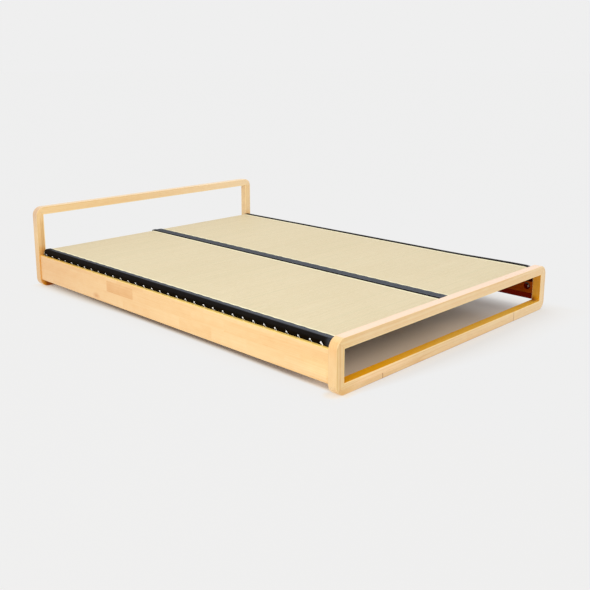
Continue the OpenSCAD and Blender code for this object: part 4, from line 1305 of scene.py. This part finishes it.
def stitches_mesh(s, seed):
    verts, faces, wv = [], [], []
    r = np.random.default_rng(seed)
    n = 10
    for outer in (True, False):
        x_side = MAT_X1 if outer else MAT_X0
        k = 1.0 if outer else -1.0
        for sy in STITCH_Y:
            path = stitch_points(not outer, r.uniform(-1, 1, 4), sy == STITCH_Y[0])
            flat = 1.0 if outer else 0.34
            if outer:
                # the sewing grows finer towards the head
                fine = float(np.interp(sy, [MAT_Y0, -600.0, 500.0, MAT_Y1], [1.0, 0.96, 0.80, 0.74]))
                path[:, 1] *= fine
                path[:, 2] = 175.6 + (path[:, 2] - 175.6) * (0.5 + 0.5 * fine)
                path[:, 3] *= fine
            tang = np.gradient(path[:, :3], axis=0)
            base0 = len(verts)
            run = 0.0
            for i, (o, a, z, rad) in enumerate(path):
                if i:
                    run += float(np.linalg.norm(path[i, :3] - path[i - 1, :3]))
                t = tang[i] / max(np.linalg.norm(tang[i]), 1e-9)
                e1 = np.cross(t, (1.0, 0, 0))
                e1 /= max(np.linalg.norm(e1), 1e-9)
                e2 = np.cross(t, e1)
                for q in range(n):
                    th = 2 * math.pi * q / n
                    rr = rad * (1 + 0.13 * math.cos(2 * (th - run * 0.9)))
                    off = (e1 * math.cos(th) + e2 * math.sin(th)) * rr
                    off[0] *= flat if not outer else (0.75 if z < 184 else 0.9)
                    verts.append((s * (x_side + k * (o + off[0])), sy + a + off[1], z + off[2]))
                    wv.append((th, run * MM, float(outer)))
            m = len(path)
            for i in range(m - 1):
                for q in range(n):
                    w = (q + 1) % n
                    faces.append((base0 + i * n + q, base0 + i * n + w, base0 + (i + 1) * n + w, base0 + (i + 1) * n + q))
            faces.append(tuple(base0 + q for q in range(n))[::-1])
            faces.append(tuple(base0 + (m - 1) * n + q for q in range(n)))
    me = build(verts, faces)
    orient(me)
    point_attr(me, "weave", "FLOAT_VECTOR", np.array(wv))
    return me


for s, name in ((-1, "left"), (1, "right")):
    body = "mat_" + name
    # core board
    pts = rounded(s * MAT_X0 + s * 2.4 if s > 0 else -MAT_X1 + 2.4, s * MAT_X1 - s * 2.4 if s > 0 else -MAT_X0 - 2.4, MAT_Z0 + 1.4, MAT_Z1 - 3.4, 4.0)
    me = slab(pts, [3.0] * len(pts), MAT_Y0 + 2.6, MAT_Y1 - 3.2, "y", steps=3)
    shade(me)
    core = add("mat_%s_core_board" % name, me, "mat_board", body, ["mat_%s_core" % name])
    # woven rush
    path = rush_path()
    xs = np.concatenate([[2.4, 4, 6.5, 10, 13, 20, 25, 30, 32.5, 35, 37, 39, 42, 45, 52, 62], np.linspace(75, 689, 56), [704, 714, 717, 720, 722, 724, 726.5, 729, 734, 744, 751, 754, 757.5, 760, 761.6]])
    X, _ = np.meshgrid(xs, np.arange(len(path)), indexing="ij")
    Y = np.broadcast_to(path[:, 0], X.shape).copy()
    Z = np.broadcast_to(path[:, 1], X.shape).copy()
    on_top = np.clip((Z - 196) / 8, 0, 1)
    gap = np.minimum(X - (MAT_X0 + BORDER_IN_W), MAT_X1 - BORDER_W - X)       # inwards from the borders' edges
    under = np.clip(-gap / 3.0, 0, 1)
    puff = np.exp(-((gap - 9.0) / 8.0) ** 2) * 0.35
    shy = np.clip(13.0 - np.minimum(X - MAT_X0, MAT_X1 - X), 0, 13.0)
    puff -= 13.0 - np.sqrt(169.0 - shy ** 2)
    Z = Z + on_top * (puff - under * 1.0 + fnoise(X * MM, Y * MM, 410 + s, 12, 0.7, 4.0) * 0.22)
    Z = Z + on_top * edge_rise(s, Y) * (1.0 - np.clip((MAT_X1 - X) / 300.0, 0, 1)) ** 1.5
    ends = 1 - np.clip((np.abs(Y - (MAT_Y0 + MAT_Y1) / 2) - (MAT_Y1 - MAT_Y0) / 2 + 9) / 5, 0, 1)
    Yn = Y + np.where(Y < 0, 1, -1) * under * (1 - ends) * 0.9
    outer = np.stack([s * X, Yn, Z], 2)
    if s < 0:
        outer = outer[::-1]
    verts, faces = closed_sheet(outer, 1.9)
    me = build([tuple(v) for v in verts], faces)
    orient(me)
    run = np.concatenate([[0], np.cumsum(np.linalg.norm(np.diff(path, axis=0), axis=1))])
    grid = np.stack([X, np.broadcast_to(run, X.shape)], 2)
    if s < 0:
        grid = grid[::-1]
    grid = np.concatenate([grid.reshape(-1, 2)] * 2) * MM
    point_attr(me, "weave", "FLOAT_VECTOR", np.concatenate([grid, np.full((len(grid), 1), 3.0 + s)], 1))
    # painted highlight on the rush beside the borders' edges
    painted_halo = np.clip((14.5 - gap) / 5.0, 0, 1)
    if s < 0:
        painted_halo = painted_halo[::-1]
    point_attr(me, "painted_highlight", "FLOAT", np.concatenate([painted_halo.ravel()] * 2))
    shade(me, 60)
    rush = add("mat_%s_woven_rush" % name, me, "woven_rush", body, ["mat_%s_rush" % name])
    # borders
    made = []
    for outer, tag in ((True, "outer"), (False, "inner")):
        me = solid_skin(border_skin(s, outer), 0.9)
        shade(me, 60)
        b = add("mat_%s_border_%s_tape" % (name, tag), me, "border_cloth", body, ["mat_%s_border_%s" % (name, tag)])
        made.append(b)
    me = stitches_mesh(s, 500 + s)
    shade(me, 60)
    add("mat_%s_thread_stitches" % name, me, "thread", body, ["mat_%s_stitches" % name])


# ---------------------------------------------------------------- room, light, camera

def floor_material():
    """Pale studio floor that glows beyond the bed, as on a light table: painted light, whose glow fades near the bed to
    paint its shadows.
    """
    g = Graph("studio_floor")
    x, y, z = g.split(g.node("ShaderNodeTexCoord").outputs["Object"])
    ex = g.math("MAXIMUM", g.math("SUBTRACT", g.math("ABSOLUTE", x), HW * MM), 0.0)
    ey = g.math("MAXIMUM", g.math("SUBTRACT", g.math("ABSOLUTE", y), HL * MM), 0.0)
    away = g.math("SQRT", g.math("ADD", g.math("POWER", ex, 2.0), g.math("POWER", ey, 2.0)))
    far = g.span(y, 0.1, 1.0, smooth=True)
    near = g.span(y, -0.45, -0.90)
    start = g.math("SUBTRACT", g.math("ADD", 0.720, g.math("MULTIPLY", near, 0.014)), g.math("MULTIPLY", far, 0.035))
    end = g.math("ADD", g.math("ADD", 0.762, g.math("MULTIPLY", near, 0.005)), g.math("MULTIPLY", far, 0.060))
    left = g.span(g.math("MULTIPLY", x, -1.0), start, end, 0.0, 0.93, smooth=True)
    left = g.math("ADD", left, g.span(g.math("MULTIPLY", x, -1.0), 0.765, 0.87, 0.0, 0.055))
    right = g.math("ADD", g.span(x, 0.40, 0.60, 0.0, 0.14, smooth=True), g.span(x, 0.62, 0.80, 0.0, 0.39, smooth=True))
    right = g.math("ADD", right, g.span(x, 0.80, 0.93, 0.0, 0.455, smooth=True))
    fy = g.math("ABSOLUTE", y)
    front = g.math("ADD", g.span(fy, 1.066, 1.108, 0.0, 0.46, smooth=True), g.span(fy, 1.106, g.span(x, -0.7, 0.2, 1.14, 1.33), 0.0, 0.525))
    glow = g.math("MAXIMUM", front, g.math("MAXIMUM", left, right))
    # painted shadow: close under the near corner's rounding it is darker
    spot = g.math("SQRT", g.math("ADD", g.math("POWER", g.math("ADD", x, 0.775), 2.0), g.math("POWER", g.math("ADD", y, 1.075), 2.0)))
    glow = g.math("MULTIPLY", glow, g.span(spot, 0.016, 0.048, 0.60, 1.0, smooth=True))
    # painted light reaches in under the foot loop, warm as light off the timber is, and in from the right
    inside = g.math("MULTIPLY", g.span(y, -0.80, -0.985, 0.0, 1.0, smooth=True), g.span(away, 0.0, 0.05, 1.0, 0.0))
    warm = g.vec("SCALE", (0.100, 0.070, 0.036), scale=g.math("MULTIPLY", inside, g.span(x, 0.2, 0.62, 1.0, 0.0)))
    cool = g.vec("SCALE", (0.030, 0.034, 0.040), scale=g.span(x, 0.0, 0.5))
    warm = g.vec("SCALE", g.vec("ADD", warm, cool), scale=g.math("SUBTRACT", 1.0, glow))
    # painted shadow along the left rail's foot, its fringe tinted with the board's colour
    part = g.math("MULTIPLY", glow, g.math("SUBTRACT", 1.0, glow))
    fringe = g.math("MULTIPLY", g.span(part, 0.0, 0.25), g.span(g.math("MULTIPLY", x, -1.0), 0.66, 0.72))
    core = g.math("MULTIPLY", g.span(g.math("MULTIPLY", x, -1.0), 0.62, 0.73), g.math("SUBTRACT", 1.0, glow))
    fringe = g.math("ADD", g.math("MULTIPLY", fringe, 0.8), g.math("MULTIPLY", g.span(part, 0.0, 0.25), g.span(fy, 1.09, 1.12, 0.0, 0.22)))
    warm = g.vec("ADD", warm, g.vec("SCALE", (0.044, 0.004, -0.052), scale=fringe))
    warm = g.vec("ADD", warm, g.vec("SCALE", (0.050, 0.021, 0.0), scale=core))
    c = g.math("MULTIPLY", g.math("SUBTRACT", 1.0, glow), FLOOR_ALBEDO)
    e = g.math("MULTIPLY", glow, WORLD)
    g.set(Base_Color=g.join(c, c, c), Roughness=1.0, Specular_IOR_Level=0.0,
          Emission_Color=g.vec("ADD", g.join(e, e, e), warm), Emission_Strength=1.0)
    return g.mat


WORLD = 0.8632
FLOOR_ALBEDO = 0.74

me = bpy.data.meshes.new("studio_floor")
S = 90.0
me.from_pydata([(-S, -S, 0), (S, -S, 0), (S, S, 0), (-S, S, 0)], [], [(0, 1, 2, 3)])
me.materials.append(floor_material())
floor = bpy.data.objects.new("studio_floor", me)
scene.collection.objects.link(floor)

world = bpy.data.worlds.new("studio")
world.use_nodes = True
bg = world.node_tree.nodes["Background"]
bg.inputs["Color"].default_value = (WORLD, WORLD, WORLD, 1)
bg.inputs["Strength"].default_value = 1.0
scene.world = world


def softbox(name, where, target, size, watts, colour=(1.0, 0.985, 0.96)):
    light = bpy.data.lights.new(name, "AREA")
    light.shape = "RECTANGLE"
    light.size, light.size_y = size
    light.energy = watts
    light.color = colour
    ob = bpy.data.objects.new(name, light)
    scene.collection.objects.link(ob)
    ob.location = where
    ob.rotation_mode = "QUATERNION"
    ob.rotation_quaternion = (Vector(where) - Vector(target)).to_track_quat("Z", "Y")
    ob.visible_camera = False
    return ob


softbox("key_left", (-2.9, -0.9, 1.5), (-0.5, -0.5, 0.1), (1.8, 1.6), 26.0)
softbox("front_fill", (0.9, -3.3, 2.0), (0.2, -1.0, 0.05), (2.6, 1.3), 9.0)
softbox("overhead", (0.5, 0.6, 3.4), (0.2, 0.3, 0.0), (3.2, 3.2), 26.0)

scene.view_settings.view_transform = "Standard"
scene.view_settings.look = "None"
scene.view_settings.exposure = 0.0
scene.view_settings.gamma = 1.0

cam_data = bpy.data.cameras.new("camera")
cam = bpy.data.objects.new("camera", cam_data)
scene.collection.objects.link(cam)
YAW, PITCH, ROLL = (math.radians(a) for a in (45.169, 12.372, -0.084))
fwd = Vector((math.sin(YAW) * math.cos(PITCH), math.cos(YAW) * math.cos(PITCH), -math.sin(PITCH)))
right = Vector((math.cos(YAW), -math.sin(YAW), 0.0))
upv = right.cross(fwd)
r2 = right * math.cos(ROLL) + upv * math.sin(ROLL)
u2 = upv * math.cos(ROLL) - right * math.sin(ROLL)
rot = Matrix((r2, u2, -fwd)).transposed()
cam.matrix_world = Matrix.Translation((-2.912307, -2.949215, 1.219690)) @ rot.to_4x4()
cam_data.sensor_width = 36.0
cam_data.lens = 811.982 / 590.0 * 36.0
cam_data.shift_x = (295.0 - 284.830) / 590.0
cam_data.shift_y = -(295.0 - 239.089) / 590.0
cam_data.clip_end = 400.0
scene.camera = cam
